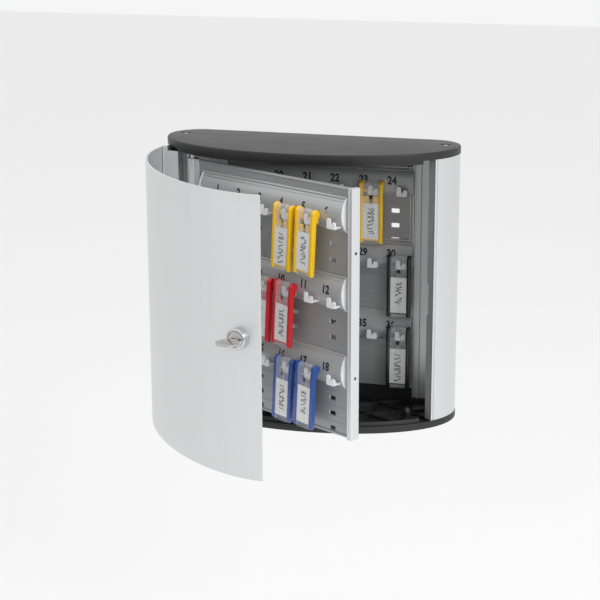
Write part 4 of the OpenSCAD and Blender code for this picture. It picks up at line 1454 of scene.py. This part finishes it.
@dataclass
class KeyTag:
    """A hanging key tag: coloured frame, clear window and a card label."""

    number: int
    finish: Finish
    width: float = 24.6
    rail: float = 3.9
    down: float = 54.0
    up: float = 12.8
    head: float = 9.5
    thick: float = 5.5
    bar: float = 1.8
    gap: float = 0.35
    lean: float = 3.5

    @property
    def inner(self) -> float:
        """Half the width between the rails."""
        return self.width / 2 - self.rail

    @property
    def front(self) -> float:
        """Depth of the tag's front face from its bar's axis."""
        return self.bar - self.head

    def place(self) -> Pose:
        """Place of the tag on its hook."""
        column, row = (self.number - 1) % 6, ((self.number - 1) // 6) % 3
        level = FIRST_ROW - row * ROW_PITCH + self.bar + self.gap
        out = BAND_BULGE + self.gap + self.bar
        if self.number <= 18:
            x = SWING_X0 + FIRST_NUMBER + column * HOOK_PITCH + 10.2
            rise = 5.25 * math.tan(math.radians(self.lean))
            hung = Pose.turned_y(self.lean, (x, -1 - out, level + rise))
            return hung.inside(PANEL_PLACE)
        x = BACK_X0 + FIRST_NUMBER + column * HOOK_PITCH + 10.2
        return Pose.at(x, PLATE_FRONT - out, level)

    def rail_outline(self) -> Array:
        """Side view of a rail in depth and height: round head, slim body and round foot."""
        radius = self.head / 2
        mid_z = self.up - radius - self.bar
        foot = self.front + self.thick / 2
        back = self.front + self.thick
        return np.vstack(
            [
                arc((foot, -self.down + self.thick / 2), self.thick / 2, 180, 360, 12),
                [[back, -4.0], [back + 0.5, -2.4], [back + 1.8, -0.8]],
                arc((self.front + radius, mid_z), radius, -42, 180, 30),
            ]
        )

    def frame(self) -> Shell:
        """Two rounded rails, the bar between them, the backing and the bridge."""
        across = Pose((0, 1, 0), (0, 0, 1), (1, 0, 0))
        outline = self.rail_outline()
        t = np.linspace(0, math.pi, 9)
        shift = (1 - np.cos(t)) / 2 * self.rail
        shrink = 1.15 * (1 - np.sin(t) ** 0.55)
        nrm = np.roll(outline, -1, 0) - np.roll(outline, 1, 0)
        nrm = np.stack([nrm[:, 1], -nrm[:, 0]], -1)
        nrm = nrm / np.linalg.norm(nrm, axis=1, keepdims=True)
        rings = np.stack(
            [np.c_[outline - s * nrm, np.full(len(outline), x)] for s, x in zip(shrink, shift)]
        )
        rail = loft(rings).placed(across)
        rails = [rail.placed(Pose.at(x, 0, 0)) for x in (-self.width / 2, self.inner)]
        bar = prism(circle(self.bar, 28), -self.inner - 1, self.inner + 1).placed(across)
        back = self.front + self.thick
        low = -self.down + 5
        web = block((-self.inner - 0.5, back - 1, low), (self.inner + 0.5, back, -14))
        bridges = [
            block((x, self.front + 1.7, -12), (x + self.inner - 2.05, self.front + 2.7, -5))
            for x in (-self.inner, 2.05)
        ]
        half = self.inner + 0.4
        foot = block((-half, self.front + 1.1, low - 1.6), (half, back - 1.2, low + 0.2))
        return Shell.joined([*rails, bar, web, *bridges, foot])

    def window(self) -> Shell:
        """Clear front with a slotted upper part, a curled hinge over the bar and a clear foot."""
        front, inner = self.front, self.inner - 0.05
        low = -self.down
        radius = self.head / 2
        mid_z = self.up - radius - self.bar
        upright = Pose((1, 0, 0), (0, 0, 1), (0, -1, 0), (0, front + 1.0, 0))
        slot = rounded([(-2.05, -7.5), (2.05, -7.5), (2.05, 0.4), (-2.05, 0.4)], 0.9)
        outline = rounded(
            [(-inner, low + 5), (inner, low + 5), (inner, mid_z), (-inner, mid_z)], 0.2
        )
        sheet = slab(outline, [slot], 0.0, 0.7).placed(upright)
        t = np.radians(np.linspace(180, 20, 22))
        outer, hollow = radius - 0.3, radius - 1.3
        curl = np.vstack(
            [
                np.stack([np.cos(t) * outer, np.sin(t) * outer], -1),
                np.stack([np.cos(t) * hollow, np.sin(t) * hollow], -1)[::-1],
            ]
        ) + [front + radius, mid_z]
        across = Pose((0, 1, 0), (0, 0, 1), (1, 0, 0))
        curls = [
            prism(curl, a, b).placed(across) for a, b in ((-inner, -2.4), (-1.5, 1.5), (2.4, inner))
        ]
        foot_plan = rounded(
            [
                (-inner, front + 0.3),
                (inner, front + 0.3),
                (inner, front + self.thick - 0.3),
                (-inner, front + self.thick - 0.3),
            ],
            1.2,
        )
        foot = prism(foot_plan, low + 0.2, low + 4.8)
        return Shell.joined([sheet, *curls, foot])

    def card(self) -> Shell:
        """White card behind the window."""
        front = self.front + 1.0
        half = self.inner - 0.1
        return block((-half, front + 0.03, -self.down + 5), (half, front + 0.43, -12))

    def scribble(self) -> Shell:
        """A pen's zigzag that reads as handwriting but spells nothing.

        Formula: strokes are a sum of two sine waves across the card, running down it,
        widened into a ribbon along its own normal. The phase depends on the number.
        """
        made = []
        rng = np.random.default_rng(400 + self.number)
        letters = int(rng.integers(6, 9))
        top, pitch = -17.0, 3.9
        for k in range(letters):
            count = 22
            u = np.linspace(0, 1, count)
            turns = rng.choice([1.0, 1.5, 2.0])
            phase = rng.uniform(0, TAU)
            x = (
                3.0 * np.cos(TAU * turns * u / 2 + phase)
                + 0.6 * np.sin(TAU * turns * u + 2 * phase)
            )
            z = top - k * pitch - 2.7 * u + 0.7 * np.sin(TAU * turns * u + phase)
            p = np.stack([x, z], -1)
            d = np.gradient(p, axis=0)
            length = np.linalg.norm(d, axis=1, keepdims=True)
            n = np.stack([-d[:, 1], d[:, 0]], -1) / np.maximum(length, 1e-6)
            half = 0.46 * (0.7 + 0.3 * np.sin(np.pi * u))[:, None]
            y0, y1 = self.front + 0.93, self.front + 1.01
            left, right = p + n * half, p - n * half
            rings = np.stack(
                [
                    np.stack([left[:, 0], np.full(count, y0), left[:, 1]], -1),
                    np.stack([right[:, 0], np.full(count, y0), right[:, 1]], -1),
                    np.stack([right[:, 0], np.full(count, y1), right[:, 1]], -1),
                    np.stack([left[:, 0], np.full(count, y1), left[:, 1]], -1),
                ],
                1,
            )
            made.append(loft(rings))
        return Shell.joined(made)

    def build(self, bench: Bench) -> None:
        """Builds the tag's four pieces."""
        place = self.place()
        tag = f"tag_{self.number:02d}"
        bench.piece(f"{tag}_rails", self.frame().placed(place), tag, self.finish, [f"{tag}_frame"])
        bench.piece(
            f"{tag}_clear", self.window().placed(place), tag, Finish.CLEAR, [f"{tag}_window"]
        )
        bench.piece(f"{tag}_card", self.card().placed(place), tag, Finish.CARD, [f"{tag}_label"])
        bench.piece(
            f"{tag}_writing", self.scribble().placed(place), tag, Finish.CARD, (), 0.0,
            bench.palette.ink
        )


# ---------------------------------------------------------------- studio


@dataclass
class Studio:
    """Floor, soft lights and camera."""

    eye: tuple[float, float, float] = (457.2716, -1624.9082, 561.5114)
    yaw: float = 0.2871
    pitch: float = 0.2643
    roll: float = -0.0025
    lens: float = 1669.3112 / 600 * 36

    def camera(self) -> None:
        """Camera with its axes worked out from yaw, pitch and roll."""
        sy, cy = math.sin(self.yaw), math.cos(self.yaw)
        sp, cp = math.sin(self.pitch), math.cos(self.pitch)
        forward = np.array([-sy * cp, cy * cp, -sp])
        right = np.array([cy, sy, 0.0])
        up = np.cross(right, forward)
        cr, sr = math.cos(self.roll), math.sin(self.roll)
        right, up = cr * right + sr * up, -sr * right + cr * up
        data = bpy.data.cameras.new("studio_camera")
        data.lens, data.sensor_width = self.lens, 36.0
        data.clip_start, data.clip_end = 0.05, 60.0
        holder = bpy.data.objects.new("studio_camera", data)
        axes = np.stack([right, up, -forward], 1)
        matrix = Matrix.Identity(4)
        for i in range(3):
            for j in range(3):
                matrix[i][j] = axes[i, j]
            matrix[i][3] = self.eye[i] * MM
        holder.matrix_world = matrix
        bpy.context.scene.collection.objects.link(holder)
        bpy.context.scene.camera = holder

    def lamp(self, name: str, at: Sequence[float], size: float, watts: float) -> None:
        """A square soft light aimed at the cabinet."""
        data = bpy.data.lights.new(name, "AREA")
        data.shape, data.size, data.energy = "SQUARE", size, watts
        holder = bpy.data.objects.new(name, data)
        holder.location = at
        aim = Vector((0.0, -0.1, 0.14)) - Vector(at)
        holder.rotation_mode = "QUATERNION"
        holder.rotation_quaternion = aim.to_track_quat("-Z", "Y")
        bpy.context.scene.collection.objects.link(holder)

    def floor(self, material: Any) -> None:
        """Wide flat floor well under the cabinet."""
        grid = np.array([[-8, -8, -0.42], [8, -8, -0.42], [8, 8, -0.42], [-8, 8, -0.42]], float)
        mesh = bpy.data.meshes.new("studio_floor")
        mesh.from_pydata(grid.tolist(), [], [[0, 1, 2, 3]])
        mesh.materials.append(material)
        obj = bpy.data.objects.new("studio_floor", mesh)
        bpy.context.scene.collection.objects.link(obj)

    def build(self, palette: Palette) -> None:
        """Sets the world, the lights, the floor and the camera."""
        world = bpy.data.worlds.new("studio_world")
        world.use_nodes = True
        back = world.node_tree.nodes["Background"]
        back.inputs[0].default_value = (1.0, 1.0, 1.0, 1.0)
        back.inputs[1].default_value = 0.92
        bpy.context.scene.world = world
        bpy.context.scene.view_settings.view_transform = "Standard"
        self.lamp("key_light", (1.9, -1.7, 1.3), 1.0, 22.0)
        self.lamp("fill_light", (-2.4, -1.6, 0.9), 1.6, 3.0)
        self.lamp("top_light", (0.0, -0.4, 2.4), 1.4, 7.0)
        self.floor(palette.floor)
        self.camera()


def main() -> None:
    """Builds every sub-assembly in order."""
    logging.basicConfig(level=logging.INFO, format="%(name)s: %(message)s")
    palette = Palette()
    bench = Bench(palette)
    Studio().build(palette)
    Caps().build(bench)
    SideProfiles().build(bench)
    BackWall().build(bench)
    HookPanel(
        "back", "cabinet", Pose.at(0, PLATE_FRONT, 0), BACK_X0, 3 + BACK_X0, -BACK_X0, 19,
        ("back_strip_top", "back_strip_middle", "back_strip_bottom"), "back_hooks",
    ).build(bench)
    SwingFrame().build(bench)
    HookPanel(
        "swing", "swing_panel", Pose.at(0, -1, 0).inside(PANEL_PLACE), SWING_X0,
        SWING_STRIP_START, PANEL_LEN - END_POST - BAND_END_GAP, 1,
        ("swing_strip_top", "swing_strip_middle", "swing_strip_bottom"),
        "swing_hooks", lit_end_faces=True,
    ).build(bench)
    Door().build(bench)
    CamLock().build(bench)
    colours = {4: Finish.YELLOW, 5: Finish.YELLOW, 9: Finish.RED, 10: Finish.RED, 16: Finish.BLUE,
               17: Finish.BLUE, 23: Finish.YELLOW, 30: Finish.BLACK, 36: Finish.BLACK}
    for number, finish in colours.items():
        KeyTag(number, finish).build(bench)
    LOG.info("%d pieces made", len(bench.made))


if __name__ == "__main__":
    main()
